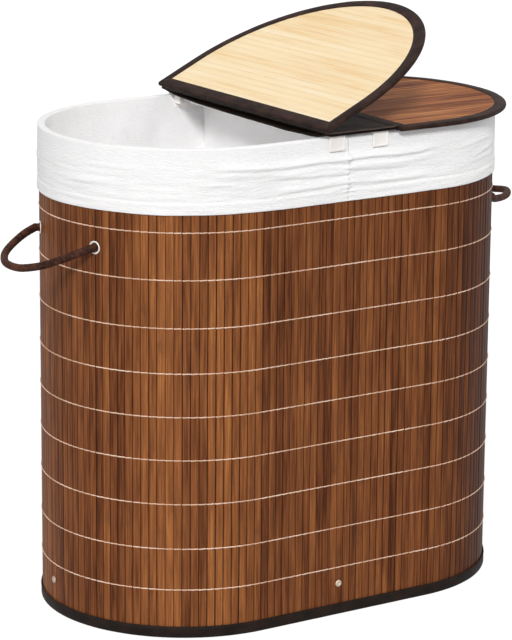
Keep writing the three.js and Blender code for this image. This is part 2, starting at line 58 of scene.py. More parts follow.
# Sizes are in metres, in the CAD part's own frame. Offsets are outward from the slat faces.
body = {"halfStraight": 0.122, "radius": 0.1766, "rimTop": 0.5937}


def colourOf(*values):
    # An sRGB colour in 0 to 255 as the linear values that Blender's nodes take.
    shares = [value / 255 for value in values]
    return (*(v / 12.92 if v <= 0.04045 else ((v + 0.055) / 1.055) ** 2.4 for v in shares), 1.0)


class Wire:
    # A socket in a node tree. Arithmetic on it adds Math nodes to its tree.

    def __init__(self, tree, socket):
        self.tree = tree
        self.socket = socket

    def math(self, operation, first, second=0.0):
        return self.tree.add("ShaderNodeMath", {"operation": operation}, {0: first, 1: second})

    def __add__(self, other):
        return self.math("ADD", self, other)

    def __radd__(self, other):
        return self.math("ADD", other, self)

    def __sub__(self, other):
        return self.math("SUBTRACT", self, other)

    def __rsub__(self, other):
        return self.math("SUBTRACT", other, self)

    def __mul__(self, other):
        return self.math("MULTIPLY", self, other)

    def __rmul__(self, other):
        return self.math("MULTIPLY", other, self)

    def __truediv__(self, other):
        return self.math("DIVIDE", self, other)

    def __rtruediv__(self, other):
        return self.math("DIVIDE", other, self)

    def __pow__(self, other):
        return self.math("POWER", self, other)

    def __rpow__(self, other):
        return self.math("POWER", other, self)

    def least(self, other):
        return self.math("MINIMUM", self, other)

    def most(self, other):
        return self.math("MAXIMUM", self, other)

    def apply(self, operation):
        return self.math(operation, self)


class Tree:
    # A shader or geometry node tree that is built by method calls.

    def __init__(self, tree):
        self.tree = tree

    def add(self, kind, settings=None, inputs=None, output=0):
        node = self.tree.nodes.new(kind)
        for name, value in (settings or {}).items():
            if name == "stops":
                self.setStops(node.color_ramp.elements, value)
            else:
                setattr(node, name, value)
        for name, value in (inputs or {}).items():
            if isinstance(value, Wire):
                self.tree.links.new(value.socket, node.inputs[name])
            else:
                node.inputs[name].default_value = value
        return Wire(self, node.outputs[output])

    def geo(self, kind, settings=None, **inputs):
        # A geometry node. Its sockets are keywords with an underscore for each space.
        inputs = {name.replace("_", " "): value for name, value in inputs.items()}
        return self.add("GeometryNode" + kind, settings, inputs)

    def end(self, kind, wire):
        self.tree.links.new(wire.socket, self.tree.nodes.new(kind).inputs[0])

    def setStops(self, elements, stops):
        while len(elements) < len(stops):
            elements.new(1.0)
        for element, (position, colour) in zip(elements, stops):
            element.position = position
            element.color = colourOf(*colour)

    def also(self, wire, output):
        # Another output of the node that a wire comes from.
        return Wire(self, wire.socket.node.outputs[output])

    def place(self):
        return self.add("ShaderNodeTexCoord", output="Object")

    def attribute(self, name, output="Fac"):
        return self.add("ShaderNodeAttribute", {"attribute_name": name}, output=output)

    def weave(self):
        return self.attribute("weave", "Vector")

    def combine(self, x=0.0, y=0.0, z=0.0):
        return self.add("ShaderNodeCombineXYZ", {}, {0: x, 1: y, 2: z})

    def split(self, vector):
        parts = self.add("ShaderNodeSeparateXYZ", {}, {0: vector})
        return parts, self.also(parts, 1), self.also(parts, 2)

    def vector(self, operation, first, second):
        return self.add("ShaderNodeVectorMath", {"operation": operation}, {0: first, 1: second})

    def grain(self, vector, scale, detail=3.0, roughness=0.5):
        # Noise with its own scale along each axis.
        vector = self.add("ShaderNodeMapping", {}, {"Vector": vector, "Scale": scale})
        inputs = {"Vector": vector, "Scale": 1.0, "Detail": detail, "Roughness": roughness}
        return self.add("ShaderNodeTexNoise", {}, inputs, "Fac")

    def ramp(self, value, stops):
        return self.add("ShaderNodeValToRGB", {"stops": stops}, {0: value})

    def level(self, value, low, high):
        settings = {"clamp": True, "interpolation_type": "SMOOTHSTEP"}
        return self.add("ShaderNodeMapRange", settings, {0: value, 1: low, 2: high})

    def mix(self, factor, *colours):
        # Two colours, each a wire or sRGB values in 0 to 255.
        first, second = (colour if isinstance(colour, Wire) else colourOf(*colour) for colour in colours)
        return self.add("ShaderNodeMix", {"data_type": "RGBA"}, {0: factor, 6: first, 7: second}, 2)

    def bump(self, height, distance, strength):
        return self.add("ShaderNodeBump", {}, {"Height": height, "Distance": distance, "Strength": strength})


# Finishes. Each recipe gives a shader's colour, roughness and normal.


def makeFinish(name, recipe, specular=0.5, sheen=0.0, metallic=0.0):
    material = bpy.data.materials.new(name)
    material.use_nodes = True
    shader = material.node_tree.nodes["Principled BSDF"]
    constants = {"Specular IOR Level": specular, "Sheen Weight": sheen, "Metallic": metallic}
    for socket, value in constants.items():
        shader.inputs[socket].default_value = value
    for socket, wire in zip(("Base Color", "Roughness", "Normal"), recipe(Tree(material.node_tree))):
        material.node_tree.links.new(wire.socket, shader.inputs[socket])
    return material


slatTones = [
    (0, (66, 32, 14)),
    (0.27, (103, 57, 30)),
    (0.5, (128, 76, 42)),
    (0.72, (148, 91, 50)),
    (1, (182, 118, 62)),
]
lidTones = [
    (0, (108, 58, 34)),
    (0.27, (158, 96, 58)),
    (0.5, (188, 124, 78)),
    (0.75, (210, 148, 98)),
    (1, (226, 172, 122)),
]
paleTones = [
    (0, (228, 186, 128)),
    (0.3, (241, 207, 156)),
    (0.5, (248, 222, 178)),
    (0.75, (251, 230, 192)),
    (1, (254, 239, 210)),
]


def bambooParts(tree, spread):
    # A slat's own tone, how near its edge a point is, and a place that differs from slat to slat.
    tone = tree.attribute("slatTone")
    edge = tree.attribute("slatAcross").apply("ABSOLUTE")
    moved = tone * spread
    return tone, edge, tree.vector("ADD", tree.weave(), tree.combine(moved, moved, moved))


def stainedBamboo(along, tones, contrast, fade, base):
    # Stained bamboo whose grain runs along one axis of the weave. Painted shade darkens it by place along X,
    # most towards the right end.
    def recipe(tree):
        tone, edge, place = bambooParts(tree, 7.0)

        def fibres(across, lengthwise, detail, roughness):
            scale = [across, across, across]
            scale[along] = lengthwise
            return tree.grain(place, scale, detail, roughness)

        grain = fibres(520, 15, 4, 0.62)
        drift = fibres(95, 8, 3, 0.55)
        blotch = fibres(34, 20, 4, 0.65)
        shade = (tone - 0.5) * 0.3 * contrast + (drift - 0.5) * contrast
        # Painted shade by place along X: lightest near x = -0.18, darker to the right of x = -0.1, most at
        # the right end, and a little darker at the far left. Fade is the share of this painted shade that a
        # finish takes.
        x, _, _ = tree.split(tree.place())
        ends = tree.level(x, 0.1, 0.27) * 0.46 + tree.level(x, -0.2, -0.29) * 0.18
        shade = shade - (tree.level(x, -0.17, -0.1) * 0.21 + ends) * fade
        colour = tree.ramp(shade + (grain - 0.5) * 1.3 * contrast + base, tones)
        colour = tree.mix(tree.level(blotch, 0.54, 0.74) * 0.4, colour, (78, 48, 34))
        colour = tree.mix(tree.level(edge, 0.86, 1.0) * 0.75, colour, (50, 24, 11))
        return colour, 0.46 + grain * 0.2, tree.bump(grain + drift * 0.6, 0.0002, 0.5)

    return recipe


def paleBamboo(tree):
    tone, edge, place = bambooParts(tree, 5.0)
    grain = tree.grain(place, (300, 9, 9), 4, 0.6)
    drift = tree.grain(place, (45, 5, 5))
    shade = (drift - 0.5) * 1.1 + (tone - 0.5) * 0.25 + (grain - 0.5) * 0.8 + 0.6
    colour = tree.mix(tree.level(edge, 0.88, 1.0) * 0.3, tree.ramp(shade, paleTones), (226, 188, 140))
    return colour, 0.5 + grain * 0.15, tree.bump(grain, 0.0001, 0.4)


def cotton(tree):
    weave = tree.weave()
    across, along, _ = tree.split(weave)
    threads = (across * 5200.0).apply("SINE") * (along * 5200.0).apply("SINE")
    slub = tree.grain(weave, (900, 120, 1), 2)
    slubToo = tree.grain(weave, (120, 900, 1), 2)
    crease = tree.grain(weave, (520, 150, 1), 3, 0.6)
    colour = tree.mix(tree.grain(weave, (22, 30, 1), 4, 0.6), (238, 237, 237), (247, 246, 246))
    colour = tree.mix(tree.level(slub + slubToo, 1.1, 1.4) * 0.3, colour, (226, 224, 223))
    height = threads * 0.05 + slub * 0.12 + slubToo * 0.12 + crease * 1.2
    return colour, 0.86 + slub * 0.1, tree.bump(height, 0.0012, 0.8)


def tape(dark, light, scale=1500.0):
    # Woven binding tape: a fine rib across it, with worn lighter ribs.
    def recipe(tree):
        weave = tree.weave()
        across, along, _ = tree.split(weave)
        ribs = (along * (2.4 * scale)).apply("SINE")
        cross = (across * (1.6 * scale)).apply("SINE")
        fuzz = tree.grain(weave, (scale * 0.5, scale * 0.5, 1), 3, 0.7)
        wear = tree.grain(weave, (60, 40, 1), 4, 0.6)
        worn = tree.level(wear + ribs * 0.05 + fuzz * 0.15, 0.42, 0.86)
        normal = tree.bump(ribs * 0.3 + cross * 0.2 + fuzz, 0.00022, 0.6)
        return tree.mix(worn, dark, light), 0.56 + fuzz * 0.22, normal

    return recipe


def wrappedRope(tree):
    weave = tree.weave()
    turn, along, _ = tree.split(weave)
    strands = (turn * 12.566 + along * 900.0).apply("SINE")
    fibre = tree.grain(weave, (14, 260, 1), 4, 0.65)
    patch = tree.grain(weave, (1.2, 60, 1), 4, 0.6)
    colour = tree.mix(tree.level(patch, 0.34, 0.66), (32, 18, 13), (84, 50, 37))
    colour = tree.mix(tree.level(fibre, 0.5, 0.75) * 0.6, colour, (116, 78, 60))
    return colour, 0.6 + fibre * 0.25, tree.bump(strands * 0.35 + fibre, 0.0006, 0.8)


def twistedThread(tree):
    place = tree.place()
    fibre = tree.grain(place, (900, 900, 1800), 3, 0.6)
    soil = tree.grain(place, (25, 25, 25), 3, 0.6)
    colour = tree.mix(tree.level(soil, 0.35, 0.7), (214, 176, 150), (244, 214, 192))
    colour = tree.mix(tree.level(fibre, 0.45, 0.75) * 0.5, colour, (176, 126, 98))
    return colour, 0.75 + fibre * 0.15, tree.bump(fibre, 0.0001, 0.5)


def speckled(light, dark, roughness, scale=300.0, depth=0.00006):
    # A plain hard finish with fine moulding or casting texture and faint soiling.
    def recipe(tree):
        place = tree.place()
        grain = tree.grain(place, (scale, scale, scale), 3, 0.6)
        soil = tree.grain(place, (scale * 0.1, scale * 0.1, scale * 0.1), 3, 0.6)
        colour = tree.mix(tree.level(soil, 0.4, 0.75), light, dark)
        return colour, roughness + grain * 0.12, tree.bump(grain, depth, 0.4)

    return recipe


def pressedBoard(tree):
    chips = tree.grain(tree.place(), (240, 240, 240), 4, 0.7)
    colour = tree.ramp(chips, [(0.3, (96, 70, 46)), (0.55, (130, 98, 66)), (0.8, (156, 122, 86))])
    return colour, 0.7 + chips * 0.2, tree.bump(chips, 0.0003, 0.5)


finishes = {
    # The slats take all of the painted shade along X, and the lid panels 0.3 of it.
    "slat": makeFinish("stainedBambooUpright", stainedBamboo(2, slatTones, 1.0, 1.0, 0.57), 0.1),
    "panel": makeFinish("stainedBambooAcross", stainedBamboo(0, lidTones, 1.15, 0.3, 0.46), 0.05),
    "lining": makeFinish("paleBamboo", paleBamboo, 0.3),
    "cotton": makeFinish("cotton", cotton, 0.2, sheen=0.15),
    "tape": makeFinish("darkTape", tape((27, 15, 11), (64, 43, 35)), 0.12),
    # The blacker tape: the foot binding's own colour, and painted shade on the hinge strip's layers.
    "baseTape": makeFinish("blackTape", tape((17, 11, 8), (40, 28, 22)), 0.12),
    # A paler tape: a painted highlight on the hinge strip's rolled hems.
    "paintedHighlightTape": makeFinish("paintedHighlightTape", tape((58, 45, 40), (112, 94, 86)), 0.2),
    "rope": makeFinish("wrappedRope", wrappedRope, 0.12),
    "thread": makeFinish("twistedThread", twistedThread, 0.2),
    "darkThread": makeFinish("darkThread", speckled((40, 28, 23), (62, 46, 38), 0.7, 900.0), 0.2),
    "whiteThread": makeFinish("whiteThread", speckled((244, 242, 240), (226, 222, 218), 0.75, 900.0)),
    "rivet": makeFinish("wornRivet", speckled((196, 178, 160), (150, 128, 108), 0.4), metallic=0.4),
    "plastic": makeFinish("clipPlastic", speckled((250, 245, 241), (242, 236, 231), 0.3)),
    "whiteMetal": makeFinish("whiteEnamel", speckled((244, 240, 234), (222, 214, 204), 0.22)),
    "steel": makeFinish("zincPlate", speckled((186, 189, 192), (150, 153, 156), 0.32), metallic=0.9),
    "innerCloth": makeFinish("backingCloth", speckled((38, 26, 18), (24, 16, 11), 0.85, 1200.0)),
    "board": makeFinish("pressedBoard", pressedBoard),
}
print("finishes made:", len(finishes))


# Places round the wall

wallLength = 4 * body["halfStraight"] + 2 * math.pi * body["radius"]
backMiddle = wallLength / 2


def wallPlaces(distance, offset=0.0):
    # Points on the wall and their outward directions, by distance along the slat faces from the
    # middle of the front, running to the right.
    half, radius = body["halfStraight"], body["radius"]
    distance = np.mod(np.asarray(distance, float), wallLength)
    rightAngle = np.clip((distance - half) / radius, 0, math.pi)
    leftAngle = np.clip((distance - 3 * half - math.pi * radius) / radius, 0, math.pi)
    angle = -math.pi / 2 + rightAngle + leftAngle
    onFront = np.where(distance < backMiddle, distance, distance - wallLength)
    onBack = backMiddle - distance
    coreX = np.clip(np.where(np.abs(onFront) < np.abs(onBack), onFront, onBack), -half, half)
    outward = np.stack([np.cos(angle), np.sin(angle)], -1)
    reach = radius + np.asarray(offset, float)
    return np.stack([coreX + outward[..., 0] * reach, outward[..., 1] * reach], -1), outward


def endPlace(y):
    # Where the point of the right end with this y lies along the wall.
    return body["halfStraight"] + (math.pi / 2 + math.asin(y / body["radius"])) * body["radius"]


def runOf(points):
    # Distances along a row of points.
    return np.concatenate([[0], np.cumsum(np.linalg.norm(np.diff(points, axis=0), axis=1))])


# Meshes


@contextmanager
def worked(mesh):
    # Lends a mesh out as a bmesh and writes it back.
    work = bmesh.new()
    work.from_mesh(mesh)
    yield work
    work.to_mesh(mesh)
    work.free()


def shaded(mesh, sharpAngle=None):
    mesh.polygons.foreach_set("use_smooth", [True] * len(mesh.polygons))
    if sharpAngle:
        mesh.set_sharp_from_angle(angle=math.radians(sharpAngle))
    return mesh


def makeObject(name, mesh, material):
    piece = bpy.data.objects.new(name, mesh)
    bpy.context.scene.collection.objects.link(piece)
    mesh.materials.clear()
    mesh.materials.append(material)
    return piece


def settle(piece, bodyName, slotName, node=None):
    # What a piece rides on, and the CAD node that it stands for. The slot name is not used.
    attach(piece, bodyName)
    if node:
        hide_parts(node)


def makePiece(name, mesh, finish, *place):
    # An object with its finish, settled by its body and CAD node. The slot is not used.
    settle(makeObject(name, mesh, finishes[finish]), *place)


def gridMesh(points, weave, closeRows=False, closeColumns=False):
    # A mesh from rows of points. Points that are nan leave a hole. The weave is a flat coordinate
    # for each point, with one more row or column where the grid closes on itself.
    points = np.asarray(points, float)
    rows, columns = points.shape[:2]
    present = ~np.isnan(points[..., 0])
    number = (np.cumsum(present.ravel()) - 1).reshape(rows, columns)
    faces, corners = [], []
    for row in range(rows if closeRows else rows - 1):
        for column in range(columns if closeColumns else columns - 1):
            ring = ((row, column), (row, column + 1), (row + 1, column + 1), (row + 1, column))
            spots = [(r % rows, c % columns) for r, c in ring]
            if all(present[spot] for spot in spots):
                faces.append([int(number[spot]) for spot in spots])
                corners.extend(weave[r][c] for r, c in ring)
    mesh = bpy.data.meshes.new("grid")
    mesh.from_pydata(points[present].tolist(), [], faces)
    layer = mesh.attributes.new("weave", "FLOAT_VECTOR", "CORNER")
    flat = np.zeros((len(corners), 3), np.float32)
    flat[:, :2] = np.asarray(corners)
    layer.data.foreach_set("vector", flat.ravel())
    return shaded(mesh)


def weaveOf(across, along):
    # Flat coordinates for a grid from its rows' and columns' own distances.
    across, along = np.asarray(across, float), np.asarray(along, float)
    return np.stack(np.broadcast_arrays(across[:, None], along[None, :]), -1)


def tidied(mesh, distance=1e-6):
    # Merges doubled points, drops empty faces and turns the faces outward.
    with worked(mesh) as work:
        bmesh.ops.remove_doubles(work, verts=work.verts, dist=distance)
        bmesh.ops.dissolve_degenerate(work, edges=work.edges, dist=1e-7)
        bmesh.ops.recalc_face_normals(work, faces=work.faces)
    return mesh


def closeHoles(mesh):
    with worked(mesh) as work:
        bmesh.ops.holes_fill(work, edges=[edge for edge in work.edges if edge.is_boundary])
        bmesh.ops.recalc_face_normals(work, faces=work.faces)
    return mesh


def joined(meshes):
    whole, work = bpy.data.meshes.new("joined"), bmesh.new()
    for mesh in meshes:
        work.from_mesh(mesh)
    work.to_mesh(whole)
    work.free()
    return shaded(whole)


def latheMesh(profile, segments, point, outward):
    # A turned piece on the wall: its profile is a list of (radius, offset) and its axis points out.
    side = outward.cross(Vector((0, 0, 1))).normalized()
    up = side.cross(outward)
    angles = [2 * math.pi * step / segments for step in range(segments)]
    spokes = [side * math.cos(angle) + up * math.sin(angle) for angle in angles]
    rings = [[point + outward * offset + spoke * radius for spoke in spokes] for radius, offset in profile]
    weave = weaveOf(np.arange(len(profile)) * 0.001, np.arange(segments + 1) * 0.001)
    return tidied(gridMesh(np.array(rings), weave, closeColumns=True))


# Geometry Nodes


def nodeGroup(name, inputs):
    # A geometry tree with named inputs, and their wires.
    group = bpy.data.node_groups.new(name, "GeometryNodeTree")
    group.interface.new_socket("Geometry", in_out="OUTPUT", socket_type="NodeSocketGeometry")
    group.interface.new_socket("Path", in_out="INPUT", socket_type="NodeSocketGeometry")
    kinds = {int: "NodeSocketInt", float: "NodeSocketFloat", bpy.types.Material: "NodeSocketMaterial"}
    for label, value in inputs.items():
        group.interface.new_socket(label, in_out="INPUT", socket_type=kinds[type(value)])
    tree = Tree(group)
    source = group.nodes.new("NodeGroupInput")
    return tree, {output.name: Wire(tree, output) for output in source.outputs if output.name}


def finishGroup(tree, geometry, material):
    # Ends a tree in real geometry with its material.
    real = tree.geo("RealizeInstances", Geometry=geometry)
    tree.end("NodeGroupOutput", tree.geo("SetMaterial", Geometry=real, Material=material))


def runGroup(name, tree, path, inputs):
    # Runs a geometry tree on a path mesh and returns the result as a plain object.
    base = bpy.data.objects.new("path", path)
    bpy.context.scene.collection.objects.link(base)
    modifier = base.modifiers.new("nodes", "NODES")
    modifier.node_group = tree.tree
    for item in tree.tree.interface.items_tree:
        if item.in_out == "INPUT" and item.name in inputs:
            modifier[item.identifier] = inputs[item.name]
    evaluated = base.evaluated_get(bpy.context.evaluated_depsgraph_get())
    mesh = bpy.data.meshes.new_from_object(evaluated)
    base.modifiers.clear()
    bpy.data.objects.remove(base)
    return makeObject(name, mesh, inputs["Finish"])


def loopMesh(points, closed=True):
    count = len(points)
    mesh = bpy.data.meshes.new("loop")
    edges = [(i, (i + 1) % count) for i in range(count if closed else count - 1)]
    mesh.from_pydata([tuple(map(float, point)) for point in points], edges, [])
    return mesh


def wallLoop(offset, height, count=1600):
    points, _ = wallPlaces(np.arange(count) / count * wallLength, offset)
    return np.column_stack([points, np.full(count, height)])


def store(tree, geometry, name, value, kind="FLOAT", domain="POINT"):
    settings = {"data_type": kind, "domain": domain}
    return tree.geo("StoreNamedAttribute", settings, Geometry=geometry, Name=name, Value=value)


def randomValue(tree, low, high, seed):
    return tree.add("FunctionNodeRandomValue", {"data_type": "FLOAT"}, {2: low, 3: high, "Seed": seed}, 1)


def bambooStrip(tree, given, width, start, end, steps):
    # A strip with rounded edges, whose points know how far across it they are.
    thick = given["Thickness"]
    outline = tree.geo("CurvePrimitiveQuadrilateral", {"mode": "RECTANGLE"}, Width=width, Height=thick)
    rounding = {"Count": 2, "Radius": given["Edge rounding"], "Limit_Radius": True}
    outline = tree.geo("FilletCurve", {"mode": "POLY"}, Curve=outline, **rounding)
    spine = tree.geo("CurvePrimitiveLine", Start=start, End=end)
    spine = tree.geo("ResampleCurve", Curve=spine, Count=steps)
    strip = tree.geo("CurveToMesh", Curve=spine, Profile_Curve=outline, Fill_Caps=True)
    x, _, _ = tree.split(tree.geo("InputPosition"))
    return store(tree, strip, "slatAcross", x / (width * 0.5))


def finishStrips(tree, given, copies, place):
    # Each copy gets its own tone, and every point its place in the weave.
    copies = store(tree, copies, "slatTone", randomValue(tree, 0.0, 1.0, given["Seed"]), domain="INSTANCE")
    copies = tree.geo("RealizeInstances", Geometry=copies)
    finishGroup(tree, store(tree, copies, "weave", place, "FLOAT_VECTOR"), given["Finish"])


# Slats

slats = {
    "Slats": 161,
    "Width": 0.0094,
    "Thickness": 0.0026,
    "Bottom": 0.001,
    "Top": 0.5918,
    "Edge rounding": 0.00055,
    "Width spread": 0.05,
    "Depth spread": 0.00022,
    "Twist spread": 0.02,
    "Seed": 11,
}


def makeSlats():
    settings = dict(slats, Finish=finishes["slat"])
    tree, given = nodeGroup("upright slats", settings)
    ends = tree.combine(z=given["Bottom"]), tree.combine(z=given["Top"])
    slat = bambooStrip(tree, given, given["Width"], *ends, 4)
    place = tree.geo("InputPosition")
    loop = tree.geo("MeshToCurve", Mesh=given["Path"])
    marks = tree.geo("CurveToPoints", {"mode": "COUNT"}, Curve=loop, Count=given["Slats"])
    along = {"Vector": tree.also(marks, "Tangent")}
    turn = tree.add("FunctionNodeAlignRotationToVector", {"axis": "X", "pivot_axis": "Z"}, along)
    copies = tree.geo("InstanceOnPoints", Points=marks, Instance=slat, Rotation=turn)

    def spread(name, shift):
        return randomValue(tree, given[name] * -1.0, given[name], given["Seed"] + shift)

    depth = tree.combine(y=spread("Depth spread", 1))
    width = tree.combine(spread("Width spread", 2) + 1.0, 1.0, 1.0)
    twist = tree.combine(z=spread("Twist spread", 3))
    copies = tree.geo("TranslateInstances", Instances=copies, Translation=depth, Local_Space=True)
    copies = tree.geo("ScaleInstances", Instances=copies, Scale=width, Local_Space=True)
    copies = tree.geo("RotateInstances", Instances=copies, Rotation=twist, Local_Space=True)
    finishStrips(tree, given, copies, place)
    piece = runGroup("slatWall", tree, loopMesh(wallLoop(-slats["Thickness"] / 2, 0.0)), settings)
    piece.data.set_sharp_from_angle(angle=math.radians(60))
    settle(piece, "hamper", "dark_bamboo", "wall_slat_mat")
    print("slats:", len(piece.data.polygons), "faces")


makeSlats()


# Threads. A slat's middle is at a whole number along them, and a gap is half way between two.

threads = {
    "Slats": 161,
    "Samples per slat": 6,
    "Height": 0.00155,
    "Depth": 0.0011,
    "Over": 0.00045,
    "Dip": 0.0012,
    "Slant": 0.0005,
}
threadHeights = [0.0606, 0.1116, 0.1668, 0.2208, 0.2736, 0.3264, 0.381, 0.4386, 0.495, 0.549]


def makeThreads():
    settings = dict(threads, Finish=finishes["thread"])
    tree, given = nodeGroup("thread row", settings)
    loop = tree.geo("MeshToCurve", Mesh=given["Path"])
    loop = tree.geo("ResampleCurve", Curve=loop, Count=given["Slats"] * given["Samples per slat"])
    share = (tree.geo("InputIndex") / given["Samples per slat"] + 0.5).apply("FRACT")
    middle = (share - 0.5).apply("ABSOLUTE") * 2.0
    outward = given["Over"] - given["Dip"] * middle**6.0
    side = tree.vector("CROSS_PRODUCT", tree.geo("InputTangent"), (0.0, 0.0, 1.0))
    move = tree.add("ShaderNodeVectorMath", {"operation": "SCALE"}, {0: side, "Scale": outward})
    move = tree.vector("ADD", move, tree.combine(z=(share - 0.5) * given["Slant"]))
    loop = tree.geo("SetPosition", Geometry=loop, Offset=move)
    loop = tree.geo("SetCurveNormal", {"mode": "Z_UP"}, Curve=loop)
    yarn = tree.geo("CurvePrimitiveCircle", {"mode": "RADIUS"}, Resolution=8, Radius=0.5)
    yarn = tree.geo("Transform", Geometry=yarn, Scale=tree.combine(given["Depth"], given["Height"], 1.0))
    finishGroup(tree, tree.geo("CurveToMesh", Curve=loop, Profile_Curve=yarn), given["Finish"])
    for number, height in enumerate(threadHeights, 1):
        piece = runGroup(f"threadRow{number}", tree, loopMesh(wallLoop(0.0, height)), settings)
        shaded(piece.data)
        settle(piece, "hamper", "pale_thread", f"thread_row_{number}")
    print("thread rows:", len(threadHeights), "of", len(piece.data.polygons), "faces")


makeThreads()


# Stitches

stitches = {"Length": 0.0026, "Radius": 0.00034, "Pitch": 0.0038}


def stitchTree():
    tree, given = nodeGroup("stitch row", dict(stitches, Finish=finishes["darkThread"]))
    loop = tree.geo("MeshToCurve", Mesh=given["Path"])
    marks = tree.geo("CurveToPoints", {"mode": "LENGTH"}, Curve=loop, Length=given["Pitch"])
    along = {"Vector": tree.also(marks, "Tangent")}
    turn = tree.add("FunctionNodeAlignRotationToVector", {"axis": "X"}, along)
    stitch = tree.geo("MeshUVSphere", Segments=6, Rings=4, Radius=given["Radius"])
    stitch = tree.geo("Transform", Geometry=stitch, Rotation=(0.0, math.pi / 2, 0.0))
    size = tree.combine(given["Length"] / (given["Radius"] * 2.0), 1.0, 1.0)
    stitch = tree.geo("Transform", Geometry=stitch, Scale=size)
    copies = tree.geo("InstanceOnPoints", Points=marks, Instance=stitch, Rotation=turn)
    finishGroup(tree, copies, given["Finish"])
    return tree


stitchRow = stitchTree()


def makeStitches(name, points, finish, bodyName, slotName, closed=True):
    piece = runGroup(name, stitchRow, loopMesh(points, closed), dict(stitches, Finish=finishes[finish]))
    shaded(piece.data)
    settle(piece, bodyName, slotName)


# Cloth bands round the wall. Each is a closed section of (offset, height) that follows the wall.

puffScale = 45.0  # how close the soft swellings of a binding lie


def wallBand(section, columns, puff=0.0, seed=1.0, start=0.0, length=None):
    whole = length is None
    length = wallLength if whole else length
    count = columns if whole else columns + 1
    distance = start + np.arange(count) / columns * length
    rows, across = [], [0.0]
    for i, (offset, height) in enumerate(section):
        if puff:
            swell = [noise.noise((d * puffScale, height * puffScale, seed)) for d in distance]
            offset = offset + np.array(swell) * puff
        rows.append(np.column_stack([wallPlaces(distance, offset)[0], np.full(count, height)]))
        across.append(across[-1] + math.dist(section[i], section[(i + 1) % len(section)]))
    along = np.append(distance, start + length) if whole else distance
    return tidied(gridMesh(rows, weaveOf(across, along), closeRows=True, closeColumns=whole))


def foldedSection(inner, outer, top, wall, steps=8):
    # A tape folded round an edge at zero, as a closed section.
    middle, half = (inner + outer) / 2, (outer - inner) / 2
    depth = half * 0.8
    lip = wall * 0.4

    def bend(share):
        angles = np.linspace(0, math.pi, steps + 1)
        return [(middle - math.cos(a) * half * share, depth - math.sin(a) * depth * share) for a in angles]

    section = [(inner, top - lip), *bend(1.0), (outer, top * 0.6), (outer, top - lip), (outer - lip, top)]
    section += [(outer - wall + lip, top), (outer - wall, top - lip), *bend(1 - wall / half)[::-1]]
    return section + [(inner + wall, top - lip), (inner + wall - lip, top), (inner + lip, top)]


footBinding = {
    "height": 0.015,
    "thickness": 0.0007,
    "inner": -0.0047,
    "outer": 0.0019,
    "puff": 0.0002,
    "stitchDrop": 0.0024,
    "stitchRise": 0.0001,
    "columns": 800,
}


def makeFootBinding():
    sizes = footBinding
    section = foldedSection(sizes["inner"], sizes["outer"], sizes["height"], sizes["thickness"])
    mesh = wallBand(section, sizes["columns"], sizes["puff"], 7.7)
    mesh.transform(Matrix.Translation((0, 0, -min(vertex.co.z for vertex in mesh.vertices))))
    makePiece("footBinding", mesh, "baseTape", "hamper", "dark_cloth", "bottom_binding")
    height = sizes["height"] - sizes["stitchDrop"]
    row = wallLoop(sizes["outer"] + sizes["stitchRise"], height, sizes["columns"])
    makeStitches("footStitches", row, "darkThread", "hamper", "dark_cloth")
    print("foot binding made")


makeFootBinding()

# Node, finish, inner and outer offset, bottom and top, and where a short piece starts and its length.
innerCloths = {
    "wallBacking": ("wall_backing", "innerCloth", -0.0038, -0.003, 0.0012, 0.5916, 0.0, None),
    "topBinding": ("top_binding", "tape", -0.0071, 0.0009, 0.569, 0.5927, 0.0, None),
    "seamTape": ("wall_seam_tape", "tape", -0.0048, -0.0043, 0.0702, 0.5497, backMiddle - 0.018, 0.036),
}
topTape = {"thickness": 0.0006, "flatTop": 0.00009}


def makeInnerCloths():
    for name, (node, finish, inner, outer, bottom, top, start, length) in innerCloths.items():
        section = [(inner, bottom), (inner, top), (outer, top), (outer, bottom)]
        if name == "topBinding":
            section = foldedSection(inner, outer, top - bottom, topTape["thickness"])
            section = [(offset, min(top - height, top - topTape["flatTop"])) for offset, height in section]
        mesh = wallBand(section, 12 if length else 320, start=start, length=length)
        if length:
            closeHoles(mesh)
        mesh.set_sharp_from_angle(angle=math.radians(50))
        makePiece(name, mesh, finish, "hamper", "dark_cloth", node)
    print("inner cloths made")


makeInnerCloths()


# Bags. Each is drawn as the left one, with places across the hamper measured towards the right,
# and the right bag is its mirror image.

bags = {
    "left": {"mirror": 1, "bar": -0.024, "split": 0.0095, "seam": -0.006, "seed": 4.0},
    "right": {"mirror": -1, "bar": -0.038, "split": -0.0115, "seam": 0.006, "seed": 19.0},
}
bagShape = {
    "thickness": 0.0006,
    "columnWidth": 0.0031,
    "floor": 0.0307,
    "floorEdge": 0.012,
    "wall": -0.0077,
    "inset": -0.0263,
    "stepBottom": 0.488,
    "stepTop": 0.524,
    "mouth": 0.5915,
    "middleShift": 0.11,
    "dividerColumns": 56,
    # Heights over which the folds of the wall and of the divider fade in, from above and from below.
    "foldFade": ((0.586, 0.55), (0.03, 0.1)),
    "dividerFade": ((0.575, 0.5), (0.031, 0.09)),
    "skirt": 0.0011,
    "skirtHeight": 0.078,
    "skirtFade": (0.01, 0.03),
    "pucker": 0.0006,
    "puckerPitch": 0.0056,
    "puckerReach": 0.006,
    "hem": 0.516,
    "hemHeight": 0.0138,
    "hemFold": 0.0005,
    "hemDent": 0.0004,
    "hemWaveTop": 0.53,
    "hemStitchDrop": 0.0022,
    "hemStitchRise": 0.0003,
    "barHalf": 0.0081,
    "barHalfHeight": 0.0019,
    "barMiddle": 0.58975,
    "sleeveHalf": 0.133,
}

# Noises: how far each moves the cloth, and how close its bumps lie along the cloth and up it.
bagNoises = {
    "fold": (0.006, 9, 3),
    "crumple": (0.0011, 45, 60),
    "dividerFold": (0.011, 8, 4),
    "dividerCrumple": (0.0012, 40, 45),
    "ripple": (0.0006, 16, 150),
    "fineRipple": (0.00016, 70, 330),
    "slack": (0.0005, 5.5, 8),
    "hemWave": (0.0011, 8, 0),
}

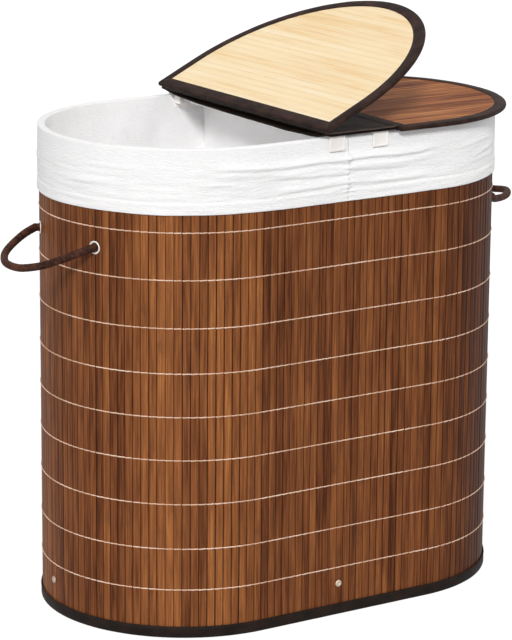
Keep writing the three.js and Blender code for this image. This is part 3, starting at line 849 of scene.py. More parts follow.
# Folds of the skirts: marks by distance from the middle of the front and height, then how far the
# cloth stands out above the fold and how tall that part is.
creases = [
    (
        [(-0.2012, 0.5686), (-0.1435, 0.5663), (-0.0891, 0.5643), (-0.0469, 0.566), (-0.006, 0.5636)],
        0.002,
        0.002,
    ),
    ([(-0.1196, 0.553), (-0.0655, 0.55), (-0.006, 0.5488)], 0.0014, 0.0016),
    ([(-0.1124, 0.5338), (-0.0653, 0.5355), (-0.006, 0.537)], 0.0016, 0.0016),
    ([(-0.036, 0.5294), (-0.006, 0.5313)], 0.001, 0.0012),
    ([(-0.2146, 0.5794), (-0.1398, 0.5781), (-0.11, 0.579)], 0.0008, 0.0012),
    ([(-0.3914, 0.5441), (-0.3623, 0.5464), (-0.31, 0.5484)], 0.0009, 0.0016),
    ([(-0.2145, 0.5492), (-0.1559, 0.5488)], 0.0008, 0.0014),
    ([(-0.006, 0.5658), (0.0289, 0.5664), (0.0609, 0.5645), (0.0928, 0.5651), (0.13, 0.569)], 0.0028, 0.0022),
    ([(0.03, 0.5785), (0.075, 0.577), (0.12, 0.5795)], 0.0009, 0.0014),
    ([(-0.006, 0.5364), (0.0422, 0.5349), (0.0837, 0.5338), (0.12, 0.536)], 0.0014, 0.0018),
    ([(-0.006, 0.5531), (0.0657, 0.55), (0.09, 0.551)], 0.0013, 0.0018),
    ([(0.15, 0.561), (0.2, 0.5655), (0.24, 0.5665)], 0.0009, 0.0014),
    ([(0.17, 0.545), (0.215, 0.551), (0.25, 0.553)], 0.0007, 0.0014),
    ([(0.36, 0.566), (0.45, 0.561), (0.52, 0.564)], 0.0012, 0.0018),
    ([(0.62, 0.561), (0.7, 0.5645), (0.79, 0.5655)], 0.002, 0.002),
    ([(0.66, 0.543), (0.73, 0.545), (0.79, 0.5465)], 0.0013, 0.0016),
    ([(-0.79, 0.5665), (-0.71, 0.564), (-0.62, 0.5665)], 0.002, 0.002),
    ([(-0.55, 0.557), (-0.47, 0.5535), (-0.43, 0.5545)], 0.0005, 0.0016),
]


def smooth(low, high, value):
    share = np.clip((value - low) / (high - low), 0, 1)
    return share * share * (3 - 2 * share)


def fbm(x, y, seed, octaves=3):
    return noise.fractal(Vector((x, y, seed)), 0.9, 2.1, octaves)


def bell(value, width):
    return math.exp(-((value / width) ** 2))


def clothNoise(kind, place, height, seed, octaves=3):
    amount, along, up = bagNoises[kind]
    return fbm(place * along, height * up, seed, octaves) * amount


def fade(height, above, below):
    return float(smooth(*above, height) * smooth(*below, height))


def creaseRise(distance, height):
    rise = 0.0
    for marks, amount, half in creases:
        start, end = marks[0][0], marks[-1][0]
        if start <= distance <= end:
            # A fold fades out at its ends, except where it runs into the seam.
            for mark in (start, end):
                amount *= min(1.0, abs(distance - mark) / 0.03 + (1.0 if abs(mark) < 0.01 else 0.0))
            line = float(np.interp(distance, [mark[0] for mark in marks], [mark[1] for mark in marks]))
            place = (height - line) / (1.35 * half) - 0.5
            rise += amount * (1.35 * bell(place, 2.4 if place > 0 else 0.95) + 0.5 * bell(place + 3.2, 1.4))
    return rise


def skirtOffset(distance, height, seed):
    # How far the skirt stands off the slats, by distance from the middle of the front.
    sizes = bagShape
    drop = body["rimTop"] - height
    loose = max(clothNoise("ripple", distance, height, seed) + 0.0003, -0.0001)
    loose += clothNoise("fineRipple", distance, height, seed + 5, 2)
    slack = clothNoise("slack", distance, height, seed + 9, 2) + 0.00005
    loose += max(0.0, slack) * drop / sizes["skirtHeight"]
    right, left = (bags[side]["seam"] for side in ("right", "left"))
    fromSeam = min(abs(distance - seam) for seam in (left, backMiddle + right, right - backMiddle))
    gather = math.sin(height * 2 * math.pi / sizes["puckerPitch"]) * bell(fromSeam, sizes["puckerReach"])
    overHem = height - sizes["hem"] - sizes["hemHeight"]
    hem = sizes["hemFold"] * float(smooth(0.0008, -0.0012, overHem))
    hem -= sizes["hemDent"] * bell(overHem - 0.0008, 0.0011)
    free = float(smooth(*sizes["skirtFade"], drop))
    loose += sizes["pucker"] * gather + creaseRise(distance, height)
    return sizes["skirt"] + free * loose + hem


def bagRows():
    # Rows from the bag's floor up its wall, over the rim and down the skirt: kind, offset and height.
    sizes = bagShape
    floor, edge, inset, wall = (sizes[name] for name in ("floor", "floorEdge", "inset", "wall"))
    rows = [("floor", share, floor) for share in (0.0, 0.3, 0.6, 0.85, 1.0)]
    for turn in map(math.radians, (30, 60, 90)):
        rows.append(("wall", inset - edge * (1 - math.sin(turn)), floor + edge * (1 - math.cos(turn))))
    for height in (0.07, 0.11, 0.16, 0.21, 0.26, 0.31, 0.35, 0.39, 0.42, 0.445, 0.465, 0.48):
        rows.append(("wall", inset, height))
    for height in np.arange(0.49, 0.5905, 0.0078):
        share = smooth(sizes["stepBottom"], sizes["stepTop"], height)
        rows.append(("wall", inset + (wall - inset) * share, height))
    rows += [("wall", wall, 0.5922), ("rim", wall + 0.0001, 0.5929), ("rim", wall + 0.0005, 0.5933)]
    rows += [("rim", offset, 0.5934) for offset in (-0.0066, -0.005, -0.003, -0.001, 0.0003)]
    rows += [("rim", 0.0008, 0.5932), ("rim", 0.0011, 0.5927)]
    rows += [("skirt", 0.0, height) for height in np.linspace(0.5912, 0.5172, 58)]
    return rows + [("skirt", 0.00002, 0.5163), ("hemTurn", -0.0004, 0.516)]


def makeBag(side):
    facts, sizes = bags[side], bagShape
    mirror, split, seam, seed = (facts[name] for name in ("mirror", "split", "seam", "seed"))
    rows = bagRows()
    end = 2 * body["halfStraight"] + math.pi * body["radius"]
    reach = max(seam, split)
    steps = int((end + 2 * reach) / sizes["columnWidth"])
    # Columns run from the middle of the front round the bag's end. The nearest ones move onto the
    # seam and the split.
    run = -reach + np.arange(steps + 1) / steps * (end + 2 * reach)
    for place in (-seam, -split, end + seam, end + split):
        run[np.argmin(np.abs(run - place))] = place
    inBag = (run >= -split - 1e-9) & (run <= end + split + 1e-9)
    inSkirt = (run >= -seam - 1e-9) & (run <= end + seam + 1e-9)
    dividerShares = np.arange(1, sizes["dividerColumns"]) / sizes["dividerColumns"]
    grid = np.full((len(rows), len(run) + len(dividerShares), 3), np.nan)
    across = [0.0]

    def noises(kind, places, height, shift, octaves=3):
        return np.array([clothNoise(kind, place, height, seed + shift, octaves) for place in places])

    for i, (kind, offset, height) in enumerate(rows):
        offsets = np.full(len(run), sizes["inset"] - sizes["floorEdge"] if kind == "floor" else offset)
        if kind == "wall":
            fold = np.abs(noises("fold", run, height, 2)) + noises("crumple", run, height, 3)
            offsets = offset - fade(height, *sizes["foldFade"]) * np.maximum(fold, -0.0002)
        elif kind in ("skirt", "hemTurn"):
            offsets = np.array([skirtOffset(-mirror * r, height, seed) for r in run]) + offset
        level = np.full(len(run), height)
        if height < sizes["hemWaveTop"] and kind in ("skirt", "hemTurn"):
            share = (sizes["hemWaveTop"] - height) / (sizes["hemWaveTop"] - sizes["hem"])
            level = level + noises("hemWave", run, height, 7, 2) * share
        keep = inBag if kind in ("floor", "wall") else inSkirt
        if kind == "wall" and height > sizes["mouth"]:
            keep = inBag | inSkirt
        grid[i, : len(run)][keep] = np.column_stack([wallPlaces(-mirror * run, offsets)[0], level])[keep]
        if kind in ("floor", "wall"):
            # The divider closes the bag across the hamper.
            half = body["radius"] + (sizes["inset"] - sizes["floorEdge"] if kind == "floor" else offset)
            y = half - 2 * half * dividerShares
            bend = np.abs(noises("dividerFold", y, height, 11)) + noises("dividerCrumple", y, height, 12)
            x = mirror * (split - fade(height, *sizes["dividerFade"]) * bend)
            grid[i, len(run) :] = np.column_stack([x, y, np.full(len(y), height)])
        if kind == "floor":
            # The floor's rows shrink towards a line in the middle of the bag.
            centre = np.array([mirror * (split - sizes["middleShift"] - body["halfStraight"]), 0.0])
            kept = ~np.isnan(grid[i, :, 0])
            grid[i, kept, :2] = centre + (grid[i, kept, :2] - centre) * max(offset, 0.02)
        if i:
            across.append(across[-1] + max(0.0008, math.dist((offset, height), rows[i - 1][1:])))
    depth = 2 * body["radius"]
    along = np.concatenate([run, run[-1] + dividerShares * depth, [run[-1] + depth]])
    mesh = gridMesh(grid, weaveOf(across, along), closeColumns=True)
    with worked(mesh) as work:
        floor = sizes["floor"] + 0.0001
        low = [edge for edge in work.edges if edge.is_boundary and max(v.co.z for v in edge.verts) < floor]
        bmesh.ops.holes_fill(work, edges=low)
    piece = makeObject(side + "Bag", joined([mesh, sleeveMesh(facts)]), finishes["cotton"])
    thicken(piece, sizes["thickness"])
    settle(piece, "hamper", "cotton_cloth", side + "_bag")
    height = sizes["hem"] + sizes["hemHeight"] - sizes["hemStitchDrop"]
    line = -mirror * run[inSkirt]
    offsets = [skirtOffset(place, height, seed) + sizes["hemStitchRise"] for place in line]
    spots = [(*wallPlaces(*place)[0], height) for place in zip(line, offsets)]
    makeStitches(side + "HemStitches", spots, "whiteThread", "hamper", "cotton_cloth", False)
    print(side, "bag:", len(piece.data.polygons), "faces before its thickness")


def thicken(piece, thickness):
    wall = piece.modifiers.new("thickness", "SOLIDIFY")
    wall.thickness = thickness
    wall.offset = 0.0


def sleeveMesh(facts, count=110, turn=0.0009):
    # The strip of cloth from the divider's top to the crossbar and round it.
    sizes = bagShape
    bar, split, half, rise = facts["bar"], facts["split"], sizes["barHalf"], sizes["barHalfHeight"]
    top, low = sizes["barMiddle"] + rise, sizes["barMiddle"] - rise

    def corner(x, z, start):
        angles = [math.radians(start + step) for step in (0, 30, 60, 90)]
        return [(x + turn * math.cos(a), z + turn * math.sin(a)) for a in angles]

    path = [(split, 0.5895), (split, 0.5908), (split - 0.0006, 0.5914)]
    path += [(x, top - 0.0001) for x in np.linspace(split - 0.0016, bar + half, 6)]
    path += [(bar + x * half, top) for x in (0.5, 0.0, -0.5)]
    path += corner(bar - half + turn, top - turn, 90) + corner(bar - half + turn, low + turn, 180)
    path += [(bar + x * half, low) for x in (-0.5, 0.0, 0.5)] + corner(bar + half - turn, low + turn, 270)
    path += [(bar + half, top - 0.0011), (bar + half - 0.0002, top - 0.0008)]
    y = np.linspace(-sizes["sleeveHalf"], sizes["sleeveHalf"], count)
    rows = [np.column_stack([np.full(count, facts["mirror"] * x), y, np.full(count, z)]) for x, z in path]
    return gridMesh(rows, weaveOf(runOf(path), y))


for bagSide in bags:
    makeBag(bagSide)


# Lids. Each is drawn as the closed left one about its hinge line, then turned or mirrored.

lids = {
    "left": {"hinge": (-0.044, 0, 0.6008), "open": 154.4, "mirror": 1, "seed": 0},
    "right": {"hinge": (0.060, 0, 0.6008), "open": 0.0, "mirror": -1, "seed": 40},
}
lidShape = {"Length": 0.2534, "Radius": 0.1914, "Inside": 0.0022}
lidStrips = {
    "panel": {
        "Pitch": 0.0098,
        "Gap": 0.0002,
        "Thickness": 0.0022,
        "Height": -0.0028,
        "Edge rounding": 0.0005,
        "Seed": 5,
    },
    "lining": {
        "Pitch": 0.0101,
        "Gap": 0.00012,
        "Thickness": 0.0017,
        "Height": -0.00505,
        "Edge rounding": 0.0003,
        "Seed": 23,
    },
}
lidSlots = {"panel": "lid_bamboo", "lining": "pale_bamboo"}


def lidPlace(mesh, side):
    facts = lids[side]
    if facts["mirror"] < 0:
        mesh.transform(Matrix.Scale(-1, 4, (1, 0, 0)))
        mesh.flip_normals()
    turn = Matrix.Rotation(math.radians(facts["open"]), 4, "Y")
    mesh.transform(Matrix.Translation(facts["hinge"]) @ turn)
    return mesh


def stripTree(kind):
    # Strips that fill a lid's D shape. The panel's run out from the hinge, and the lining's along it.
    tree, given = nodeGroup(f"lid {kind} strips", {**lidShape, **lidStrips[kind], "Finish": finishes[kind]})
    inside, pitch = given["Inside"], given["Pitch"]
    radius, straight = given["Radius"] - inside, given["Length"] - given["Radius"]
    strip = bambooStrip(tree, given, pitch - given["Gap"], (0.0, 0.0, 0.0), (0.0, 0.0, 1.0), 5)
    spots = tree.geo("MeshToPoints", Mesh=given["Path"])
    spotX, spotY, _ = tree.split(tree.geo("InputPosition"))
    if kind == "lining":
        beyond = (spotX.apply("ABSOLUTE") + pitch * 0.5 - straight).most(0.0).least(radius - 0.0001)
        half = (radius * radius - beyond * beyond).apply("SQRT")
        size = tree.combine(1.0, 1.0, half * 2.0)
        turn = (-math.pi / 2, 0.0, 0.0)
        shift = tree.combine(y=half * -1.0, z=given["Height"])
    else:
        outer = (spotY.apply("ABSOLUTE") + pitch * 0.5).least(radius - 0.0001)
        size = tree.combine(1.0, 1.0, straight + (radius * radius - outer * outer).apply("SQRT") - inside)
        turn = (math.pi / 2, 0.0, -math.pi / 2)
        shift = tree.combine(inside * -1.0, z=given["Height"])
    spots = tree.geo("SetPosition", Geometry=spots, Offset=shift)
    copies = tree.geo("InstanceOnPoints", Points=spots, Instance=strip, Rotation=turn, Scale=size)
    finishStrips(tree, given, copies, tree.geo("InputPosition"))
    return tree


stripTrees = {kind: stripTree(kind) for kind in lidStrips}


def makeLidSheets(side):
    for kind, strip in lidStrips.items():
        span = lidShape["Length"] if kind == "lining" else 2 * lidShape["Radius"]
        count = int((span - 2 * lidShape["Inside"]) / strip["Pitch"])
        if kind == "lining":
            # The first strip starts at the hinge edge.
            places = [(-lidShape["Inside"] - strip["Pitch"] * (i + 0.5), 0, 0) for i in range(count)]
        else:
            places = [(0, strip["Pitch"] * (i - (count - 1) / 2), 0) for i in range(count)]
        path = bpy.data.meshes.new("spots")
        path.from_pydata(places, [], [])
        settings = {**lidShape, **strip, "Seed": strip["Seed"] + lids[side]["seed"], "Finish": finishes[kind]}
        piece = runGroup(f"{side}Lid{kind.title()}", stripTrees[kind], path, settings)
        shaded(lidPlace(piece.data, side), 60)
        settle(piece, side + "_lid", lidSlots[kind], f"{side}_lid_{kind}")


lidBinding = {
    "corner": 0.004,
    "puff": 0.00022,
    # A closed section: places inside the lid's edge and heights about the hinge line.
    "section": [
        (0.015, -0.0015), (0.0146, -0.00105), (0.0135, -0.0009), (0.0085, -0.0008), (0.0032, -0.00085),
        (0.0016, -0.0012), (0.0006, -0.0019), (0.0001, -0.0029), (0.0, -0.0039), (0.0002, -0.005),
        (0.0008, -0.0059), (0.0018, -0.0065), (0.0034, -0.00664), (0.0058, -0.00688), (0.0085, -0.00692),
        (0.0112, -0.00674), (0.0135, -0.00646), (0.0146, -0.00636), (0.015, -0.0061), (0.0142, -0.00598),
        (0.003, -0.006), (0.0012, -0.0054), (0.0008, -0.0039), (0.0012, -0.0022), (0.003, -0.00165),
        (0.0142, -0.0016),
    ],
    "outerPoints": 18,
    "stitchInset": 0.0126,
    "stitchHeights": {"Top": -0.00085, "Under": -0.00646},
}


def lidEdge(inset, cornerSteps=5, arcSteps=96):
    # The lid's outline at a distance inside its edge, with slightly rounded hinge corners.
    radius, straight = lidShape["Radius"], lidShape["Length"] - lidShape["Radius"]
    turn, centre = max(lidBinding["corner"] - inset, 0), max(lidBinding["corner"], inset)
    reach, bow = radius - centre, radius - inset
    bend = [math.pi / 2 * step / cornerSteps for step in range(1, cornerSteps)]
    arc = [math.pi / 2 + math.pi * step / arcSteps for step in range(1, arcSteps)]
    sides = np.linspace(centre, straight, 12)
    points = [(-inset, y * reach) for y in np.linspace(-1, 1, 60)]
    points += [(-centre + turn * math.cos(a), reach + turn * math.sin(a)) for a in bend]
    points += [(-x, bow) for x in sides]
    points += [(-straight + bow * math.cos(a), bow * math.sin(a)) for a in arc]
    points += [(-x, -bow) for x in sides[::-1]]
    points += [(-centre + turn * math.sin(a), -reach - turn * math.cos(a)) for a in bend]
    return np.array(points)


def makeLidBinding(side):
    section, edge = lidBinding["section"], lidEdge(0.0)
    rows, across = [], [0.0]
    for i, (inset, height) in enumerate(section):
        way = 1 if height > -0.0015 else -1 if height < -0.0062 else 0
        lift = np.zeros(len(edge))
        if way and 0 < i < lidBinding["outerPoints"] - 1:
            puff = [noise.noise((x * puffScale, y * puffScale, 9.0 + i * 0.13)) for x, y in edge]
            lift = np.minimum(np.array(puff) * lidBinding["puff"] * way, 0.0001)
        rows.append(np.column_stack([lidEdge(inset), height + lift]))
        across.append(across[-1] + math.dist(section[i], section[(i + 1) % len(section)]))
    weave = weaveOf(across, runOf(np.vstack([edge, edge[:1]])))
    mesh = lidPlace(tidied(gridMesh(rows, weave, closeRows=True, closeColumns=True)), side)
    makePiece(side + "LidBinding", mesh, "tape", side + "_lid", "dark_cloth", side + "_lid_binding")
    for name, height in lidBinding["stitchHeights"].items():
        loop = lidEdge(lidBinding["stitchInset"])
        path = lidPlace(loopMesh(np.column_stack([loop, np.full(len(loop), height)])), side)
        points = [vertex.co[:] for vertex in path.vertices]
        makeStitches(f"{side}LidStitches{name}", points, "darkThread", side + "_lid", "dark_cloth")


for lidSide in lids:
    makeLidSheets(lidSide)
    makeLidBinding(lidSide)
print("lids made")


# Hinge strip: two cloth layers on the clips. The lower one's free edge sags into the open bin.

hingeStrip = {
    "left": -0.0437,
    "right": 0.0597,
    "halfLength": 0.1846,
    "thickness": 0.0011,
    "lower": 0.5968,
    "upper": 0.5992,
    "sag": 0.0024,
    "hemRadius": 0.0009,
    "hemRise": 0.0006,
    "hemInset": 0.0006,
    "fray": 0.0004,
    "clipFade": (0.128, 0.15),  # from the middle, where it rises onto the clips
    "lowerRipple": 0.0005,
    "lowerLift": 0.0007,
    "upperRipple": 0.0007,
    "upperLift": 0.0006,
    "edgeRise": 0.0011,
    # Heights of the lower layer's left edge, by the place along it.
    "freeEdge": [
        (-0.1846, 0.5986), (-0.177, 0.596), (-0.1685, 0.5942), (-0.152, 0.5928), (-0.118, 0.5918),
        (-0.1, 0.591), (-0.066, 0.5916), (-0.03, 0.5916), (0.005, 0.592), (0.041, 0.5922), (0.06, 0.5926),
        (0.097, 0.5931), (0.116, 0.5938), (0.135, 0.5949), (0.154, 0.5962), (0.1736, 0.5986),
        (0.1846, 0.5992),
    ],
}


def cornerLift(x, y):
    # The rear left corners close up under the open lid.
    return float(smooth(0.168, 0.180, y) * smooth(-0.030, -0.040, x))


def lowerStripHeight(x, y):
    # It lies on the clips and over the bars, and its free edge sags into the open bin.
    sizes = hingeStrip
    overClips = float(smooth(*sizes["clipFade"], abs(y)))
    rest = sizes["lower"] - sizes["sag"] * (1 - overClips)
    edge = float(np.interp(y, *zip(*sizes["freeEdge"])))
    free = float(smooth(-0.012, sizes["left"], x)) * (1 - overClips)
    free += float(smooth(-0.0362, sizes["left"], x)) * overClips
    ripple = abs(fbm(x * 50, y * 22, 31.0)) * sizes["lowerRipple"]
    height = rest * (1 - free) + (edge + sizes["thickness"] / 2) * free + ripple * (1 - overClips)
    return height + cornerLift(x, y) * sizes["lowerLift"]


def upperStripHeight(x, y):
    sizes = hingeStrip
    middle, half = (sizes["left"] + sizes["right"]) / 2, (sizes["right"] - sizes["left"]) / 2
    edge = float(smooth(half - 0.008, half, abs(x - middle)))
    ripple = abs(fbm(x * 40, y * 16, 47.0)) * sizes["upperRipple"] * (1 - edge)
    return sizes["upper"] + ripple + sizes["edgeRise"] * edge + cornerLift(x, y) * sizes["upperLift"]


def makeStripLayer(name, heightAt, seed, node):
    sizes = hingeStrip
    x = np.linspace(sizes["left"], sizes["right"], 60)
    y = np.linspace(-sizes["halfLength"], sizes["halfLength"], 150)
    rows = []
    for place in x:
        inward = sizes["fray"] * (1 if place < 0 else -1)
        frayed = [place + inward * abs(fbm(v * 30, place * 30, seed, 2)) for v in y]
        rows.append(np.column_stack([frayed, y, [heightAt(place, v) for v in y]]))
    # The layers take the blacker base tape, darker than the lid binding's tape: painted shade under the lids.
    piece = makeObject(name, gridMesh(rows, weaveOf(x, y)), finishes["baseTape"])
    thicken(piece, sizes["thickness"])
    settle(piece, "hamper", "dark_cloth")
    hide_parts(node)


def sweepTube(route, run, radiusAt, sides):
    # A round tube along a route, with half balls at its ends.
    tangents = np.gradient(route, axis=0)
    tangents /= np.linalg.norm(tangents, axis=1)[:, None]
    normal = np.cross(tangents[0], (0, 0, 1.0))
    normal /= np.linalg.norm(normal)
    frames = []
    for tangent in tangents:
        normal = normal - tangent * (normal @ tangent)
        normal /= np.linalg.norm(normal)
        frames.append((normal, np.cross(tangent, normal)))
    angles = 2 * math.pi * np.arange(sides) / sides

    def ring(i, shift, share):
        first, second = frames[i]
        radius = np.array([radiusAt(run[i], a) for a in angles])[:, None] * share
        spokes = np.cos(angles)[:, None] * first + np.sin(angles)[:, None] * second
        return route[i] + tangents[i] * shift + spokes * radius

    reach, last = radiusAt(0.0, 0.0), len(route) - 1
    caps = [(reach * math.cos(a), math.sin(a)) for a in map(math.radians, (2, 25, 50, 72))]
    rings = [(0, -shift, share) for shift, share in caps]
    rings += [(i, 0.0, 1.0) for i in range(len(route))]
    rings += [(last, shift, share) for shift, share in caps[::-1]]
    across = [run[i] + shift for i, shift, _ in rings]
    weave = weaveOf(across, np.append(angles, 2 * math.pi) / (2 * math.pi))[..., ::-1]
    return closeHoles(tidied(gridMesh([ring(*facts) for facts in rings], weave, closeColumns=True), 1e-7))


def makeStripHems():
    # A rolled edge closes each end of the strip's upper layer. Its paler tape is a painted highlight along
    # the hem.
    sizes = hingeStrip
    for name, end in (("stripHemFront", -1), ("stripHemRear", 1)):
        y = end * (sizes["halfLength"] - sizes["hemInset"])
        x = np.linspace(sizes["left"] + 0.001, sizes["right"] - 0.001, 70)
        route = np.array([(place, y, upperStripHeight(place, y) + sizes["hemRise"]) for place in x])
        mesh = sweepTube(route, x - x[0], lambda distance, angle: sizes["hemRadius"], 10)
        makePiece(name, mesh, "paintedHighlightTape", "hamper", "dark_cloth")


makeStripLayer("stripLower", lowerStripHeight, 3.0, "hinge_strip_lower")
makeStripLayer("stripUpper", upperStripHeight, 8.0, "hinge_strip_upper")
makeStripHems()
print("hinge strip made")


# Rope handles. Marks on each loop run out from the wall, along it and down, as shares of its sizes.

handles = {
    "radius": 0.0046,
    "reach": 0.09,
    "halfSpacing": 0.06743,
    "droop": 0.018,
    "pivotX": 0.29234,
    "pivotZ": 0.470,
    "wrapPitch": 0.0062,
    # Shares of the radius: the wrapping's ridges, the unevenness, the middle and the ends' extra.
    "wrapShare": 0.012,
    "unevenShare": 0.02,
    "middleShare": 0.985,
    "endShare": 0.08,
    "endReach": 0.03,
    "sides": 20,
    "steps": 200,
}
handleRoutes = {
    "left": [
        (0, -1, 0), (0.27, -0.9, 0.44), (0.51, -0.89, 0.69), (0.72, -0.87, 0.85), (0.9, -0.66, 1.01),
        (0.93, -0.26, 1.03), (0.79, 0.21, 1.0), (0.62, 0.53, 0.88), (0.42, 0.74, 0.58), (0.2, 0.89, 0.22),
        (0, 1, 0),
    ],
    "right": [
        (0, -1, 0), (0.14, -0.84, 0.36), (0.5, -0.5, 0.65), (0.78, -0.15, 0.78), (0.96, 0.23, 0.87),
        (0.98, 0.72, 1.11), (0.76, 1.02, 1), (0.38, 1.1, 0.6), (0, 1, 0),
    ],
}


def smoothRoute(marks, steps):
    # A centripetal Catmull-Rom curve through the marks, at even distances along it.
    marks = np.vstack([2 * marks[0] - marks[1], marks, 2 * marks[-1] - marks[-2]])
    fine = []
    for i in range(1, len(marks) - 2):
        a, b, c, d = marks[i - 1 : i + 3]
        before, span, after = (math.sqrt(np.linalg.norm(v)) for v in (b - a, c - b, d - c))
        leave = ((b - a) / before - (c - a) / (before + span) + (c - b) / span) * span
        arrive = ((c - b) / span - (d - b) / (span + after) + (d - c) / after) * span
        for t in np.linspace(0, 1, 40, endpoint=i == len(marks) - 3):
            cubic = (2 * b - 2 * c + leave + arrive) * t**3
            fine.append(cubic + (3 * c - 3 * b - 2 * leave - arrive) * t**2 + leave * t + b)
    fine = np.array(fine)
    run = runOf(fine)
    even = np.linspace(0, run[-1], steps)
    return np.column_stack([np.interp(even, run, fine[:, axis]) for axis in range(3)]), even


def makeHandle(side, direction):
    sizes = handles
    scale = np.array([direction * sizes["reach"], sizes["halfSpacing"], -sizes["droop"]])
    pivot = np.array([direction * sizes["pivotX"], 0, sizes["pivotZ"]])
    route, run = smoothRoute(np.array(handleRoutes[side]) * scale + pivot, sizes["steps"])

    def wrapped(distance, angle):
        # Low ridges of the wrapping, a slow unevenness, and a little more rope at the ends.
        share = sizes["wrapShare"] * math.sin(distance * 2 * math.pi / sizes["wrapPitch"] + angle)
        share += sizes["endShare"] * bell(min(distance, run[-1] - distance), sizes["endReach"])
        share += sizes["unevenShare"] * fbm(distance * 30, angle * 0.3, 5.0, 2)
        return sizes["radius"] * (sizes["middleShare"] + share)

    mesh = sweepTube(route, run, wrapped, sizes["sides"])
    makePiece(side + "RopeHandle", mesh, "rope", side + "_handle", "brown_rope", side + "_rope_handle")


makeHandle("left", -1)
makeHandle("right", 1)


# Eyelets, knots and rivets. Sections are radius and offset from the slat faces.

fixtures = {
    "rivetHeight": 0.04,
    "knotDepth": -0.0123,
    "knotSway": 0.0026,
    "knotSize": 0.0017,
    "knotRadius": 0.0029,
    "stemInner": -0.011,
    "stemOuter": 0.0045,
    "stemRadius": 0.0048,
}
eyeletPlaces = {
    "right_front": endPlace(-0.065),
    "right_rear": endPlace(0.065),
    "left_front": wallLength - endPlace(-0.065),
    "left_rear": wallLength - endPlace(0.065),
}
rivetPlaces = {
    "front": -0.011,
    "back": backMiddle - 0.011,
    "right": endPlace(-0.017),
    "left": wallLength - endPlace(0.017),
}
eyeletSection = [
    (0.0054, -0.0059), (0.0061, -0.0059), (0.0061, 0.0002), (0.0077, 0.0002), (0.0079, 0.0004),
    (0.0079, 0.0007), (0.0077, 0.001), (0.0073, 0.0012), (0.0069, 0.0013), (0.0065, 0.0012),
    (0.0061, 0.0009), (0.0058, 0.0004), (0.0054, -0.0004), (0.0054, -0.0059),
]
rivetSection = [
    (0.00005, -0.0082), (0.003, -0.0082), (0.0034, -0.0079), (0.0034, -0.007), (0.002, -0.007),
    (0.002, 0.0003), (0.0042, 0.0003), (0.0044, 0.0006), (0.0044, 0.001), (0.0041, 0.0015),
    (0.0034, 0.0019), (0.0025, 0.0021), (0.0018, 0.002), (0.0014, 0.0016), (0.001, 0.0011),
    (0.00005, 0.001),
]


def onWall(distance, height):
    point, outward = wallPlaces(distance)
    return Vector((*point, height)), Vector((*outward, 0.0)).normalized()


def knotMesh(point, outward):
    # The rope's end runs in through the eyelet and is knotted inside the wall.
    sizes = fixtures
    side, up = outward.cross(Vector((0, 0, 1))) * sizes["knotSize"], Vector((0, 0, sizes["knotSize"]))
    marks = []
    for t in np.linspace(0, 2 * math.pi, 60):
        a, b = math.sin(t) + 2 * math.sin(2 * t), math.cos(t) - 2 * math.cos(2 * t)
        depth = sizes["knotDepth"] + sizes["knotSway"] * math.sin(3 * t)
        marks.append(point + outward * depth + side * a + up * b)
    coil = np.array(marks)
    depths = np.linspace(sizes["stemInner"], sizes["stemOuter"], 12)
    stem = np.array([point + outward * depth for depth in depths])
    coilMesh = sweepTube(coil, runOf(coil), lambda distance, angle: sizes["knotRadius"], 12)
    return joined([coilMesh, sweepTube(stem, runOf(stem), lambda distance, angle: sizes["stemRadius"], 16)])


def makeEyelets():
    for corner, distance in eyeletPlaces.items():
        point, outward = onWall(distance, handles["pivotZ"])
        name = corner.title().replace("_", "")
        ring = shaded(latheMesh(eyeletSection, 40, point, outward), 60)
        makePiece("eyelet" + name, ring, "whiteMetal", "hamper", "white_metal", "eyelet_" + corner)
        knot = knotMesh(point, outward)
        makePiece("ropeKnot" + name, knot, "rope", "hamper", "brown_rope", "rope_knot_" + corner)


def makeRivets():
    for side, distance in rivetPlaces.items():
        mesh = closeHoles(latheMesh(rivetSection, 28, *onWall(distance, fixtures["rivetHeight"])))
        name = "rivet" + side.title()
        makePiece(name, shaded(mesh, 60), "rivet", "hamper", "white_metal", "base_rivet_" + side)


makeEyelets()
makeRivets()
print("handles, eyelets and rivets made")


# Clips and crossbars

clips = {
    "middles": {"left": -0.024, "right": 0.038},
    "widthShare": 0.93,
    "rounding": 0.0005,
    "outerLeg": 0.1775,
    "legShift": 0.001,
    "plug": (0.0148, 0.009, 0.0059),
    "plugPlace": (0.1591, 0.588),
    "bar": (0.015, 0.3274, 0.0025),
    "barRounding": 0.0004,
}


def addBlock(work, size, middle):
    corners = bmesh.ops.create_cube(work, size=1.0)["verts"]
    bmesh.ops.scale(work, vec=size, verts=corners)
    bmesh.ops.translate(work, vec=middle, verts=corners)


def makeClip(side, end, way):
    # The CAD clip with rounded edges, a little narrower, and a plug in its socket round the bar's end.
    node, middle = f"{side}_clip_{end}", clips["middles"][side]
    mesh = frame["nodes"][node].data.copy()
    with worked(mesh) as work:
        bmesh.ops.remove_doubles(work, verts=work.verts, dist=2e-6)
        bmesh.ops.dissolve_limit(work, angle_limit=math.radians(2), verts=work.verts, edges=work.edges)
        sharp = [edge for edge in work.edges if edge.calc_face_angle(0) > math.radians(35)]
        rounding = {"offset": clips["rounding"], "segments": 3, "profile": 0.5}
        bmesh.ops.bevel(work, geom=sharp, affect="EDGES", clamp_overlap=True, **rounding)
        bmesh.ops.triangulate(work, faces=[face for face in work.faces if len(face.verts) > 4])
    shaded(mesh, 50)
    for vertex in mesh.vertices:
        vertex.co.x = middle + (vertex.co.x - middle) * clips["widthShare"]
        if abs(vertex.co.y) > clips["outerLeg"]:
            vertex.co.y += math.copysign(clips["legShift"], vertex.co.y)
    with worked(mesh) as work:
        y, z = clips["plugPlace"]
        addBlock(work, clips["plug"], (middle, way * y, z))
    name = f"clip{side.title()}Clip{end.title()}"
    makePiece(name, mesh, "plastic", "hamper", "pale_plastic", node)


